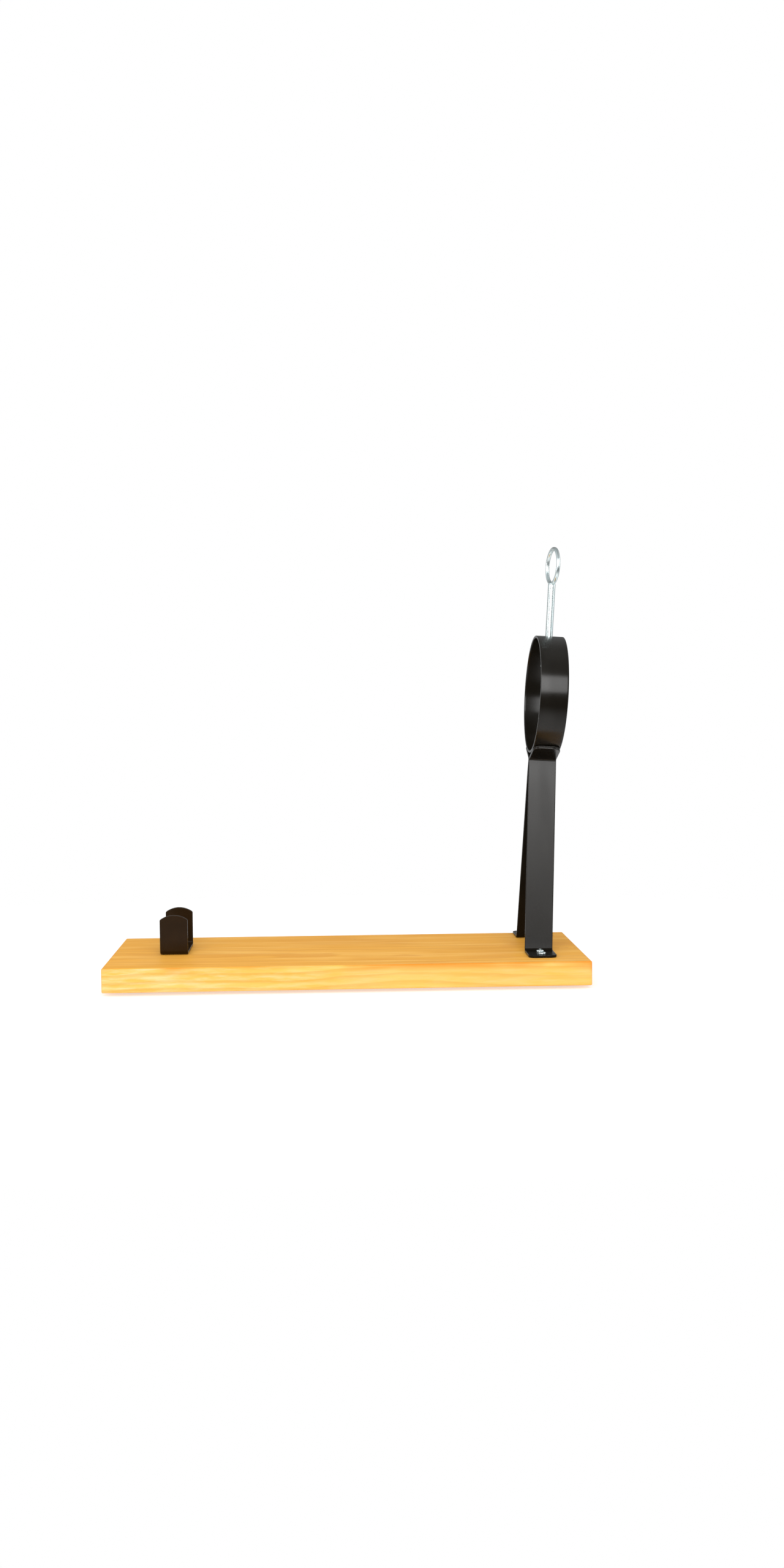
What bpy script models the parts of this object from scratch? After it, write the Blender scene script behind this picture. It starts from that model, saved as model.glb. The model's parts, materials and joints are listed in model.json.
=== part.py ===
"""Ham holder stand: a pine board, a spiked cradle and a leaning post with a hock ring and a screw clamp.

Metres, +Z up. The origin is on the table, under the middle of the board. +X runs along the board towards the
post, and +Y towards the back. The post and all that it carries lean towards +X by LEAN.
"""

import math

import bmesh
import bpy
from mathutils import Matrix, Vector

# Clearances between pieces that touch
GAP = 0.0003

# Board
BOARD_LENGTH = 0.500
BOARD_WIDTH = 0.195
BOARD_THICKNESS = 0.025
BOARD_EDGE_RADIUS = 0.0012
BOARD_EDGE_SEGMENTS = 2

# Rubber feet under the board, each held by a small screw
PAD_HEIGHT = 0.004
PAD_TOP_RADIUS = 0.009
PAD_BOTTOM_RADIUS = 0.0082
PAD_BORE_RADIUS = 0.0018
PAD_COUNTERBORE_RADIUS = 0.0037
PAD_COUNTERBORE_DEPTH = 0.0022
PAD_INSET = 0.034
PAD_SCREW = {"head_radius": 0.0032, "head_height": 0.0013, "shank_radius": 0.0015, "length": 0.010}

# Flat bar that the legs, the ring and the cradle are bent from
BAR_WIDTH = 0.0295
BAR_THICKNESS = 0.0025
BEND_RADIUS = 0.003
BAR_COLUMNS = 10
BEND_STEPS = 5

# Cradle for the thick end of the ham
CRADLE_X = -0.184
CRADLE_OUTER_WIDTH = 0.064
CRADLE_ARM_HEIGHT = 0.0427
CRADLE_ARCH_RADIUS = 0.024
CRADLE_SCREW_OFFSET = 0.017
SPIKE_RADIUS = 0.0035
SPIKE_HEIGHT = 0.031
SPIKE_POINT = 0.014

# Post: two legs that meet at the waist and carry the ring
POST_X = 0.2028
POST_Y = 0.0105
LEAN = math.radians(3.3)
LEG_SPREAD = 0.050
BACK_FOOT_SHIFT = 0.0034
FOOT_REACH = 0.035
FOOT_CORNER_RADIUS = 0.006
FOOT_SCREW_OFFSETS = (0.011, 0.025)
WAIST_HEIGHT = 0.2035
WAIST_CLEARANCE = 0.0009
TWIST_START = 0.010
TAB_ANGLE = math.radians(22.0)
TAB_BEND_RADIUS = 0.002
TAB_PAST_TANGENT = 0.0110
TAB_CORNER_RADIUS = 0.009
LEG_STEPS = 8

# Ring round the hock
RING_RADIUS = 0.0635
RING_CENTRE = 0.2735
RING_SEGMENTS = 80
RING_HOLE_RADIUS = 0.0046
RING_HOLE_OVERCUT = 0.01

# Screw clamp, M8 with a 1.25 mm pitch
NUT_ACROSS_FLATS = 0.013
NUT_HEIGHT = 0.0065
NUT_BORE_RADIUS = 0.0043
NUT_CROWN_PLAY = 0.0002
SHAFT_RADIUS = 0.004
SHAFT_TOP = 0.3933
EYE_CENTRE = 0.4124
EYE_OUTER_RADIUS = 0.0207
EYE_WIRE_RADIUS = 0.0021
EYE_TURN = math.radians(9.6)
EYE_SEGMENTS = 40
WIRE_SEGMENTS = 10
CLAMP_FOOT_BOTTOM = 0.3035
CLAMP_FOOT_HEIGHT = 0.008
CLAMP_FOOT_RADIUS = 0.0072
CLAMP_FOOT_RIM_HEIGHT = 0.003
CLAMP_FOOT_BOSS_RADIUS = 0.0056
CLAMP_FOOT_DISH = 0.0008
CLAMP_FOOT_SHOULDER = 0.001
CLAMP_FOOT_SOLE_WIDTH = 0.0015
SOCKET_RADIUS = 0.0036
SOCKET_FLOOR = 0.0022
SOCKET_ROOF = 0.0052
SOCKET_MOUTH_RADIUS = 0.0029
COLLAR_RADIUS = 0.0032
NECK_RADIUS = 0.0025
SWIVEL_PLAY = 0.0004

# Pan-head wood screws
WOOD_SCREW = {"head_radius": 0.004, "head_height": 0.0024, "shank_radius": 0.0019, "length": 0.018}
SCREW_SEGMENTS = 12
ROUND_SEGMENTS = 24
POINT_LENGTH = 0.003
SCREW_HOLE_OVERCUT = 0.002
# The dome of a screw head, as shares of its radius and height
HEAD_DOME = ((0.55, 0.9), (0.88, 0.55))

BOARD_BOTTOM = PAD_HEIGHT
BOARD_TOP = BOARD_BOTTOM + BOARD_THICKNESS
PLATE_TOP = GAP + BAR_THICKNESS
MERGE = 0.00001
SHARP_ANGLE = math.radians(35.0)


def clear_scene():
    for obj in list(bpy.data.objects):
        bpy.data.objects.remove(obj)


def make_collection(name, hidden=False):
    collection = bpy.data.collections.new(name)
    collection.hide_render = hidden
    bpy.context.scene.collection.children.link(collection)
    return collection


def make_material(name, colour, roughness, metallic):
    material = bpy.data.materials.new(name)
    material.use_nodes = True
    shader = material.node_tree.nodes["Principled BSDF"]
    shader.inputs["Base Color"].default_value = (*colour, 1.0)
    shader.inputs["Roughness"].default_value = roughness
    shader.inputs["Metallic"].default_value = metallic
    return material


def pine():
    return make_material("varnished_pine", (0.83, 0.47, 0.13), 0.35, 0.0)


def black_paint(name):
    return make_material(name, (0.022, 0.018, 0.015), 0.38, 0.0)


def bright_zinc(name):
    return make_material(name, (0.72, 0.76, 0.75), 0.25, 1.0)


def black_rubber(name):
    return make_material(name, (0.02, 0.02, 0.02), 0.8, 0.0)


clear_scene()
STAND = make_collection("ham_holder_stand")
CUTTERS = make_collection("cutters", hidden=True)


def add_empty(name, matrix, parent=None):
    empty = bpy.data.objects.new(name, None)
    STAND.objects.link(empty)
    empty.parent = parent
    empty.matrix_local = matrix
    return empty


def add_piece(name, mesh, material, parent, matrix):
    mesh.materials.append(material)
    piece = bpy.data.objects.new(name, mesh)
    STAND.objects.link(piece)
    piece.parent = parent
    piece.matrix_local = matrix
    mesh.shade_smooth()
    mesh.set_sharp_from_angle(angle=SHARP_ANGLE)
    return piece


def add_cutter(name, mesh, parent, matrix):
    cutter = bpy.data.objects.new(name, mesh)
    CUTTERS.objects.link(cutter)
    cutter.hide_render = True
    cutter.display_type = "WIRE"
    cutter.parent = parent
    cutter.matrix_local = matrix
    return cutter


def cut(piece, cutter):
    boolean = piece.modifiers.new("cut_" + cutter.name, "BOOLEAN")
    boolean.operation = "DIFFERENCE"
    boolean.object = cutter


def cylinder_mesh(name, radius, bottom, top, segments):
    """A closed cylinder on the Z axis between two heights."""
    shape = bmesh.new()
    bmesh.ops.create_cone(
        shape, cap_ends=True, segments=segments, radius1=radius, radius2=radius, depth=top - bottom
    )
    bmesh.ops.translate(shape, verts=shape.verts, vec=(0.0, 0.0, (top + bottom) / 2))
    mesh = bpy.data.meshes.new(name)
    shape.to_mesh(mesh)
    shape.free()
    return mesh


def outline_mesh(name, profile, closed=False):
    """Edges through (radius, height) points in the XZ plane, for a Screw modifier to turn."""
    mesh = bpy.data.meshes.new(name)
    edges = [(i, i + 1) for i in range(len(profile) - 1)]
    if closed:
        edges.append((len(profile) - 1, 0))
    mesh.from_pydata([(radius, 0.0, height) for radius, height in profile], edges, [])
    return mesh


def add_turned(name, profile, material, parent, matrix, segments=ROUND_SEGMENTS, closed=False):
    """A turned piece on its own Z axis. The profile runs down the outer side."""
    piece = add_piece(name, outline_mesh(name, profile, closed), material, parent, matrix)
    screw = piece.modifiers.new("turn", "SCREW")
    screw.steps = screw.render_steps = segments
    screw.use_merge_vertices = True
    screw.merge_threshold = MERGE
    return piece


def filleted(points, radii, steps=BEND_STEPS):
    """A path through 2D points, with each inner corner rounded to its radius by an arc."""
    path = [Vector(points[0])]
    for before, corner, after, radius in zip(points, points[1:], points[2:], radii):
        corner = Vector(corner)
        back = (Vector(before) - corner).normalized()
        ahead = (Vector(after) - corner).normalized()
        half_angle = back.angle(ahead) / 2
        centre = corner + (back + ahead).normalized() * radius / math.sin(half_angle)
        start = corner + back * radius / math.tan(half_angle) - centre
        end = corner + ahead * radius / math.tan(half_angle) - centre
        sweep = start.angle_signed(end)
        for step in range(steps + 1):
            path.append(centre + Matrix.Rotation(-sweep * step / steps, 2) @ start)
    path.append(Vector(points[-1]))
    return path


def rounded_corners(radius):
    """How much shorter the bar is at a distance x from its centre line, for two rounded corners."""

    def shortening(x):
        past = max(0.0, abs(x) - (BAR_WIDTH / 2 - radius))
        return radius - math.sqrt(max(0.0, radius**2 - past**2))

    return shortening


def arched(radius):
    """The same for an end that is one shallow arc."""
    return lambda x: radius - math.sqrt(radius**2 - x**2)


def bar_mesh(name, path, start_shape, end_shape, place=lambda x, y, z: (x, y, z)):
    """One face of a bent bar: a sheet that follows a path in the YZ plane, with a shaped end at each end."""
    turns = [math.pi * (i / BAR_COLUMNS - 0.5) for i in range(BAR_COLUMNS + 1)]
    columns = [BAR_WIDTH / 2 * math.sin(turn) for turn in turns]
    first = (path[1] - path[0]).normalized()
    last = (path[-2] - path[-1]).normalized()
    shape = bmesh.new()
    rows = []
    for index, point in enumerate(path):
        row = []
        for x in columns:
            spot = point.copy()
            if index == 0:
                spot += first * start_shape(x)
            if index == len(path) - 1:
                spot += last * end_shape(x)
            row.append(shape.verts.new(place(x, spot.x, spot.y)))
        rows.append(row)
    for lower, upper in zip(rows, rows[1:]):
        for i in range(BAR_COLUMNS):
            shape.faces.new((lower[i], lower[i + 1], upper[i + 1], upper[i]))
    mesh = bpy.data.meshes.new(name)
    shape.to_mesh(mesh)
    shape.free()
    return mesh


def thicken(piece, offset):
    """Gives a sheet the bar's thickness, on its normals' side with offset 1 and on the other with -1."""
    solidify = piece.modifiers.new("thickness", "SOLIDIFY")
    solidify.thickness = BAR_THICKNESS
    solidify.offset = offset
    solidify.use_even_offset = True


def screw_profile(head_radius, head_height, shank_radius, length):
    """A domed head above zero and a pointed shank below it."""
    return [
        (0.0, head_height),
        *((head_radius * across, head_height * up) for across, up in HEAD_DOME),
        (head_radius, 0.0),
        (shank_radius, 0.0),
        (shank_radius, POINT_LENGTH - length),
        (0.0, -length),
    ]


def add_screw(name, size, parent, matrix, board):
    """A wood screw whose head bears on the height zero of its matrix, and its hole in the board."""
    add_turned(name, screw_profile(**size), bright_zinc(name + "_zinc"), parent, matrix, SCREW_SEGMENTS)
    radius, bottom = size["shank_radius"] + GAP, -size["length"] - GAP
    hole = cylinder_mesh(name + "_hole", radius, bottom, SCREW_HOLE_OVERCUT, SCREW_SEGMENTS)
    cut(board, add_cutter(name + "_hole", hole, parent, matrix))


def add_plate_hole(piece, name, parent, matrix):
    """A clearance hole for a wood screw through a bar."""
    hole = cylinder_mesh(name, WOOD_SCREW["shank_radius"] + GAP, -2 * PLATE_TOP, PLATE_TOP, SCREW_SEGMENTS)
    cut(piece, add_cutter(name, hole, parent, matrix))


def add_board(root):
    shape = bmesh.new()
    bmesh.ops.create_cube(shape, size=1.0)
    bmesh.ops.scale(shape, verts=shape.verts, vec=(BOARD_LENGTH, BOARD_WIDTH, BOARD_THICKNESS))
    mesh = bpy.data.meshes.new("base_board")
    shape.to_mesh(mesh)
    shape.free()
    place = Matrix.Translation((0.0, 0.0, (BOARD_BOTTOM + BOARD_TOP) / 2))
    board = add_piece("base_board", mesh, pine(), root, place)
    bevel = board.modifiers.new("eased_edges", "BEVEL")
    bevel.width = BOARD_EDGE_RADIUS
    bevel.segments = BOARD_EDGE_SEGMENTS
    return board


def add_feet(root, board):
    """Four rubber pads, and the screw that goes up through each of them into the board."""
    top = PAD_HEIGHT - GAP
    ring = [
        (PAD_BORE_RADIUS, top),
        (PAD_TOP_RADIUS, top),
        (PAD_BOTTOM_RADIUS, 0.0),
        (PAD_COUNTERBORE_RADIUS, 0.0),
        (PAD_COUNTERBORE_RADIUS, PAD_COUNTERBORE_DEPTH),
        (PAD_BORE_RADIUS, PAD_COUNTERBORE_DEPTH),
    ]
    for end, x in (("left", PAD_INSET - BOARD_LENGTH / 2), ("right", BOARD_LENGTH / 2 - PAD_INSET)):
        for side, y in (("front", PAD_INSET - BOARD_WIDTH / 2), ("back", BOARD_WIDTH / 2 - PAD_INSET)):
            where = f"{side}_{end}"
            foot = f"foot_pad_{where}"
            place = Matrix.Translation((x, y, 0.0))
            add_turned(foot, ring, black_rubber(foot + "_rubber"), root, place, closed=True)
            seat = Matrix.Translation((0.0, 0.0, PAD_COUNTERBORE_DEPTH - GAP))
            upside_down = seat @ Matrix.Rotation(math.pi, 4, "X")
            add_screw(f"pad_screw_{where}", PAD_SCREW, root, place @ upside_down, board)


def add_cradle(root, board):
    """The U-shaped cradle, its two screws and the spike that stands in it."""
    half = CRADLE_OUTER_WIDTH / 2
    outer = BEND_RADIUS + BAR_THICKNESS
    corners = [(-half, CRADLE_ARM_HEIGHT), (-half, GAP), (half, GAP), (half, CRADLE_ARM_HEIGHT)]
    path = filleted(corners, (outer, outer))
    arch = arched(CRADLE_ARCH_RADIUS)
    place = Matrix.Translation((CRADLE_X, POST_Y, BOARD_TOP))
    paint = black_paint("cradle_paint")
    cradle = add_piece("cradle_bracket", bar_mesh("cradle_bracket", path, arch, arch), paint, root, place)
    thicken(cradle, 1.0)
    for side, y in (("front", -CRADLE_SCREW_OFFSET), ("back", CRADLE_SCREW_OFFSET)):
        seat = place @ Matrix.Translation((0.0, y, PLATE_TOP + GAP))
        add_plate_hole(cradle, f"cradle_hole_{side}", root, seat)
        add_screw(f"cradle_screw_{side}", WOOD_SCREW, root, seat, board)
    spike = [(0.0, SPIKE_HEIGHT), (SPIKE_RADIUS, SPIKE_HEIGHT - SPIKE_POINT), (SPIKE_RADIUS, 0.0), (0.0, 0.0)]
    stand = place @ Matrix.Translation((0.0, 0.0, PLATE_TOP + GAP))
    add_turned("ham_spike", spike, bright_zinc("spike_zinc"), root, stand, SCREW_SEGMENTS)


def leg_path():
    """The side view of a leg's outer face, as (outwards, up): foot, leg and the tab along the ring."""
    down = Vector((LEG_SPREAD, 0.0))
    up = Vector((BAR_THICKNESS + WAIST_CLEARANCE, WAIST_HEIGHT))
    along = (up - down).normalized()
    foot_corner = down + along * (PLATE_TOP / along.y)
    radial = Vector((math.sin(TAB_ANGLE), -math.cos(TAB_ANGLE)))
    outwards = Vector((math.cos(TAB_ANGLE), math.sin(TAB_ANGLE)))
    touch = Vector((0.0, RING_CENTRE)) + radial * (RING_RADIUS + GAP + BAR_THICKNESS)
    normal = Vector((along.y, -along.x))
    back = (touch - down).dot(normal) / outwards.dot(normal)
    tab_corner = touch - outwards * back
    tab_end = touch + outwards * TAB_PAST_TANGENT
    foot_end = Vector((LEG_SPREAD + FOOT_REACH, PLATE_TOP))
    path = filleted([foot_end, foot_corner, tab_corner, tab_end], (BEND_RADIUS, TAB_BEND_RADIUS))
    low, high = path[BEND_STEPS + 1], path[BEND_STEPS + 2]
    rungs = [low.lerp(high, step / LEG_STEPS) for step in range(1, LEG_STEPS)]
    return path[: BEND_STEPS + 2] + rungs + path[BEND_STEPS + 2 :]


def leaning(foot_shift):
    """Leans a leg towards +X from a foot that stands foot_shift along the board.

    The bar's width stays level at the foot, and is square to the lean at the waist and above.
    """

    def place(x, y, z):
        share = min(1.0, max(0.0, (z - TWIST_START) / (WAIST_HEIGHT - 2 * TWIST_START)))
        turn = LEAN * share * share * (3.0 - 2.0 * share)
        across = foot_shift * (1.0 - share)
        return x * math.cos(turn) + z * math.sin(LEAN) + across, y, z * math.cos(LEAN) - x * math.sin(turn)

    return place


def add_legs(root, board):
    path = leg_path()
    place = Matrix.Translation((POST_X, POST_Y, BOARD_TOP))
    for name, side, shift in (("front", -1.0, 0.0), ("back", 1.0, BACK_FOOT_SHIFT)):
        shape = [Vector((side * point.x, point.y)) for point in path]
        ends = rounded_corners(FOOT_CORNER_RADIUS), rounded_corners(TAB_CORNER_RADIUS)
        mesh = bar_mesh(name + "_leg", shape, *ends, leaning(shift))
        leg = add_piece(name + "_leg", mesh, black_paint(name + "_leg_paint"), root, place)
        thicken(leg, side)
        for where, offset in zip(("inner", "outer"), FOOT_SCREW_OFFSETS):
            seat = place @ Matrix.Translation((shift, side * (LEG_SPREAD + offset), PLATE_TOP + GAP))
            add_plate_hole(leg, f"{name}_foot_hole_{where}", root, seat)
            add_screw(f"{name}_foot_screw_{where}", WOOD_SCREW, root, seat, board)


def add_ring(post):
    """The closed hoop on top of the legs, with a hole at its crown for the clamp screw."""
    shape = bmesh.new()
    size = {"radius1": RING_RADIUS, "radius2": RING_RADIUS, "depth": BAR_WIDTH}
    bmesh.ops.create_cone(shape, cap_ends=False, segments=RING_SEGMENTS, **size)
    bmesh.ops.rotate(shape, verts=shape.verts, matrix=Matrix.Rotation(math.pi / 2, 3, "Y"))
    mesh = bpy.data.meshes.new("hock_ring")
    shape.to_mesh(mesh)
    shape.free()
    place = Matrix.Translation((0.0, 0.0, RING_CENTRE))
    ring = add_piece("hock_ring", mesh, black_paint("ring_paint"), post, place)
    thicken(ring, -1.0)
    low, high = RING_RADIUS - RING_HOLE_OVERCUT, RING_RADIUS + RING_HOLE_OVERCUT
    hole = cylinder_mesh("ring_hole", RING_HOLE_RADIUS, low, high, ROUND_SEGMENTS)
    cut(ring, add_cutter("ring_hole", hole, post, place))


def add_nut(post):
    """The nut welded under the ring's crown. Its flats face along and across the board."""
    crown = RING_CENTRE + math.sqrt((RING_RADIUS - BAR_THICKNESS) ** 2 - (NUT_ACROSS_FLATS / 2) ** 2)
    top = crown - GAP - NUT_CROWN_PLAY
    mesh = cylinder_mesh("clamp_nut", NUT_ACROSS_FLATS / 2 / math.cos(math.pi / 6), top - NUT_HEIGHT, top, 6)
    nut = add_piece("clamp_nut", mesh, black_paint("nut_paint"), post, Matrix.Identity(4))
    bore = cylinder_mesh("nut_bore", NUT_BORE_RADIUS, top - 2 * NUT_HEIGHT, top + NUT_HEIGHT, ROUND_SEGMENTS)
    cut(nut, add_cutter("nut_bore", bore, post, Matrix.Identity(4)))


def add_clamp(post):
    """The swivel foot, the screw that turns in it and the eye welded to the screw's top."""
    travel = add_empty("clamp_travel", Matrix.Translation((0.0, 0.0, CLAMP_FOOT_BOTTOM)), post)
    foot = [
        (0.0, SOCKET_FLOOR),
        (SOCKET_RADIUS, SOCKET_FLOOR),
        (SOCKET_RADIUS, SOCKET_ROOF),
        (SOCKET_MOUTH_RADIUS, SOCKET_ROOF),
        (SOCKET_MOUTH_RADIUS, CLAMP_FOOT_HEIGHT),
        (CLAMP_FOOT_BOSS_RADIUS, CLAMP_FOOT_HEIGHT),
        (CLAMP_FOOT_BOSS_RADIUS, CLAMP_FOOT_RIM_HEIGHT + CLAMP_FOOT_SHOULDER),
        (CLAMP_FOOT_RADIUS, CLAMP_FOOT_RIM_HEIGHT),
        (CLAMP_FOOT_RADIUS, 0.0),
        (CLAMP_FOOT_RADIUS - CLAMP_FOOT_SOLE_WIDTH, 0.0),
        (0.0, CLAMP_FOOT_DISH),
    ]
    add_turned("clamp_foot", foot, bright_zinc("clamp_foot_zinc"), travel, Matrix.Identity(4))
    turn = add_empty("clamp_turn", Matrix.Identity(4), travel)
    shaft = [
        (0.0, SHAFT_TOP - CLAMP_FOOT_BOTTOM),
        (SHAFT_RADIUS, SHAFT_TOP - CLAMP_FOOT_BOTTOM),
        (SHAFT_RADIUS, CLAMP_FOOT_HEIGHT + SWIVEL_PLAY),
        (NECK_RADIUS, CLAMP_FOOT_HEIGHT + SWIVEL_PLAY),
        (NECK_RADIUS, SOCKET_ROOF - SWIVEL_PLAY),
        (COLLAR_RADIUS, SOCKET_ROOF - SWIVEL_PLAY),
        (COLLAR_RADIUS, SOCKET_FLOOR + SWIVEL_PLAY),
        (0.0, SOCKET_FLOOR + SWIVEL_PLAY),
    ]
    screw = add_turned("clamp_screw", shaft, bright_zinc("clamp_screw_zinc"), turn, Matrix.Identity(4))
    upright = Matrix.Rotation(EYE_TURN, 4, "Z") @ Matrix.Rotation(math.pi / 2, 4, "Y")
    place = Matrix.Translation((0.0, 0.0, EYE_CENTRE - CLAMP_FOOT_BOTTOM)) @ upright
    add_eye_and_saddle(turn, place, screw)


def torus_mesh(name, wire_radius):
    """A closed ring of wire round its own Z axis."""
    bpy.ops.mesh.primitive_torus_add(
        major_radius=EYE_OUTER_RADIUS - EYE_WIRE_RADIUS,
        minor_radius=wire_radius,
        major_segments=EYE_SEGMENTS,
        minor_segments=WIRE_SEGMENTS,
    )
    made = bpy.context.object
    mesh = made.data
    mesh.name = name
    bpy.data.objects.remove(made)
    return mesh


def add_eye_and_saddle(turn, place, screw):
    """The eye, and the saddle in the screw's top that it is welded into."""
    add_piece("screw_eye", torus_mesh("screw_eye", EYE_WIRE_RADIUS), bright_zinc("eye_zinc"), turn, place)
    cut(screw, add_cutter("eye_saddle", torus_mesh("eye_saddle", EYE_WIRE_RADIUS + GAP), turn, place))


def build():
    root = add_empty("stand_root", Matrix.Identity(4))
    lean = Matrix.Translation((POST_X, POST_Y, BOARD_TOP)) @ Matrix.Rotation(LEAN, 4, "Y")
    post = add_empty("post_axis", lean, root)
    board = add_board(root)
    add_feet(root, board)
    add_cradle(root, board)
    add_legs(root, board)
    add_ring(post)
    add_nut(post)
    add_clamp(post)


build()
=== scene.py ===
"""Looks of a ham holder stand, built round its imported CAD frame.

The stand is a varnished pine board. At its left stands a small U cradle with a spike. At its right a post
of black painted flat bar leans outwards: two legs and the hock ring that they carry. A bright zinc screw
clamp goes through the ring's crown. Metres, in the frame's own axes: +X runs along the board to the post,
+Y to the back, +Z up.
"""

from __future__ import annotations

import json
import logging
import math
from dataclasses import dataclass
from enum import Enum
from typing import Any, Callable, Optional, Sequence, Union

import bmesh
import bpy
from mathutils import Matrix, Vector

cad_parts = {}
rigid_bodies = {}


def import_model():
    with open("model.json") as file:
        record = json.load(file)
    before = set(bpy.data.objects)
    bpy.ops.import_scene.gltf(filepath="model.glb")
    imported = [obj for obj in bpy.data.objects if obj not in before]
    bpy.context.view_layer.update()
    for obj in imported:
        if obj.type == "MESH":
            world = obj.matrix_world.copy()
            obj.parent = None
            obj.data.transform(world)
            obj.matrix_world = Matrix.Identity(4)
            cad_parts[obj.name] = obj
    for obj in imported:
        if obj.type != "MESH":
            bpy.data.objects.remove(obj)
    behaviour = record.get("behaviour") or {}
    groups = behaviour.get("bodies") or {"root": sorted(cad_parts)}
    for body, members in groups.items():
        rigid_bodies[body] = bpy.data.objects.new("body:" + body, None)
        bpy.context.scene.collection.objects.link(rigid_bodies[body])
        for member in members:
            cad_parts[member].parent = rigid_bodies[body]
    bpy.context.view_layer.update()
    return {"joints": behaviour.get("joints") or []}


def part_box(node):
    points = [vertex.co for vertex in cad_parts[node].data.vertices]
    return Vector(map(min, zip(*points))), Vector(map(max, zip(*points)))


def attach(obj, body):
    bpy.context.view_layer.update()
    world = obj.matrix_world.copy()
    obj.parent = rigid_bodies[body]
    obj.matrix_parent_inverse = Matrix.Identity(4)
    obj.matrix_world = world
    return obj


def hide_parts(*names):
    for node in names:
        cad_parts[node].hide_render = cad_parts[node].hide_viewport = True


LOG = logging.getLogger("ham_holder_stand")
MERGE = 1e-6
SMOOTH_ANGLE = math.radians(38.0)
FULL_BEND = 0.45
SCREW_SEGMENTS = 36
SCREW_POINT = 0.004
PAD_SEGMENTS = 48
THREAD_COLUMNS = 37
RING_STEPS = 120

Colour = tuple[float, float, float]
Point = tuple[float, float, float]
Flat = tuple[float, float]
Scalar = Union["Socket", float]


class Body(Enum):
    """The rigid bodies that pieces ride on."""

    STAND = "stand"
    FOOT = "swivel_foot"
    EYE_SCREW = "eye_screw"


class Slot(Enum):
    """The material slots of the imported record."""

    PINE = "pine"
    RUBBER = "rubber"
    SCREW_ZINC = "screw_zinc"
    CRADLE_PAINT = "cradle_paint"
    POST_PAINT = "post_paint"
    SPIKE_STEEL = "spike_steel"
    CLAMP_ZINC = "clamp_zinc"


# ---- Node trees ----


def _operator(operation: str, swapped: bool = False) -> Callable[["Socket", Scalar], "Socket"]:
    """An arithmetic method that adds one Math node, with its two sides swapped for the reflected form."""

    def method(self: "Socket", other: Scalar) -> "Socket":
        """The Math node's result."""
        return self.maths(operation, other, self) if swapped else self.maths(operation, self, other)

    return method


class Socket:
    """An output socket whose arithmetic adds Math nodes."""

    def __init__(self, tree: "Tree", link: bpy.types.NodeSocket) -> None:
        """Keeps the tree and the socket."""
        self.tree = tree
        self.link = link

    def output(self, name: str) -> "Socket":
        """Another output of the same node."""
        return Socket(self.tree, self.link.node.outputs[name])

    def maths(self, operation: str, first: Scalar, second: Scalar = 0.0) -> "Socket":
        """One Math node on two values."""
        return self.tree.node("ShaderNodeMath", {"operation": operation}, {0: first, 1: second})

    __add__ = _operator("ADD")
    __radd__ = _operator("ADD", swapped=True)
    __sub__ = _operator("SUBTRACT")
    __rsub__ = _operator("SUBTRACT", swapped=True)
    __mul__ = _operator("MULTIPLY")
    __rmul__ = _operator("MULTIPLY", swapped=True)
    __truediv__ = _operator("DIVIDE")
    __pow__ = _operator("POWER")

    def __abs__(self) -> "Socket":
        """The size of the value, without its sign."""
        return self.maths("ABSOLUTE", self)

    def fraction(self) -> "Socket":
        """What is left of the value after its whole number."""
        return self.maths("FRACT", self)

    def smooth(self, low: Scalar, high: Scalar) -> "Socket":
        """A soft step from 0 at low to 1 at high."""
        return self.tree.node(
            "ShaderNodeMapRange",
            {"interpolation_type": "SMOOTHSTEP"},
            {"Value": self, "From Min": low, "From Max": high},
        )


class Tree:
    """A node tree in the making, of a material, a world or a geometry modifier."""

    def __init__(self, tree: bpy.types.NodeTree) -> None:
        """Empties the tree."""
        self.tree = tree
        self.tree.nodes.clear()

    def node(
        self,
        kind: str,
        settings: Optional[dict[str, Any]] = None,
        inputs: Optional[dict[Union[int, str], Any]] = None,
        output: Union[int, str] = 0,
    ) -> Optional[Socket]:
        """Adds one node.

        Args:
            kind: The node's type, such as ShaderNodeTexNoise.
            settings: Its properties, set before anything else.
            inputs: Values or sockets for its inputs, by name or number.
            output: The output that is wanted.

        Returns:
            That output, or None for a node with no outputs.
        """
        made = self.tree.nodes.new(kind)
        for name, value in (settings or {}).items():
            setattr(made, name, value)
        for key, value in (inputs or {}).items():
            if isinstance(value, Socket):
                self.tree.links.new(value.link, made.inputs[key])
            else:
                made.inputs[key].default_value = value
        return Socket(self, made.outputs[output]) if made.outputs else None

    def parts(self, vector: Socket) -> Socket:
        """A vector's X. Its Y and Z are the other outputs."""
        return self.node("ShaderNodeSeparateXYZ", {}, {0: vector})


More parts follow.
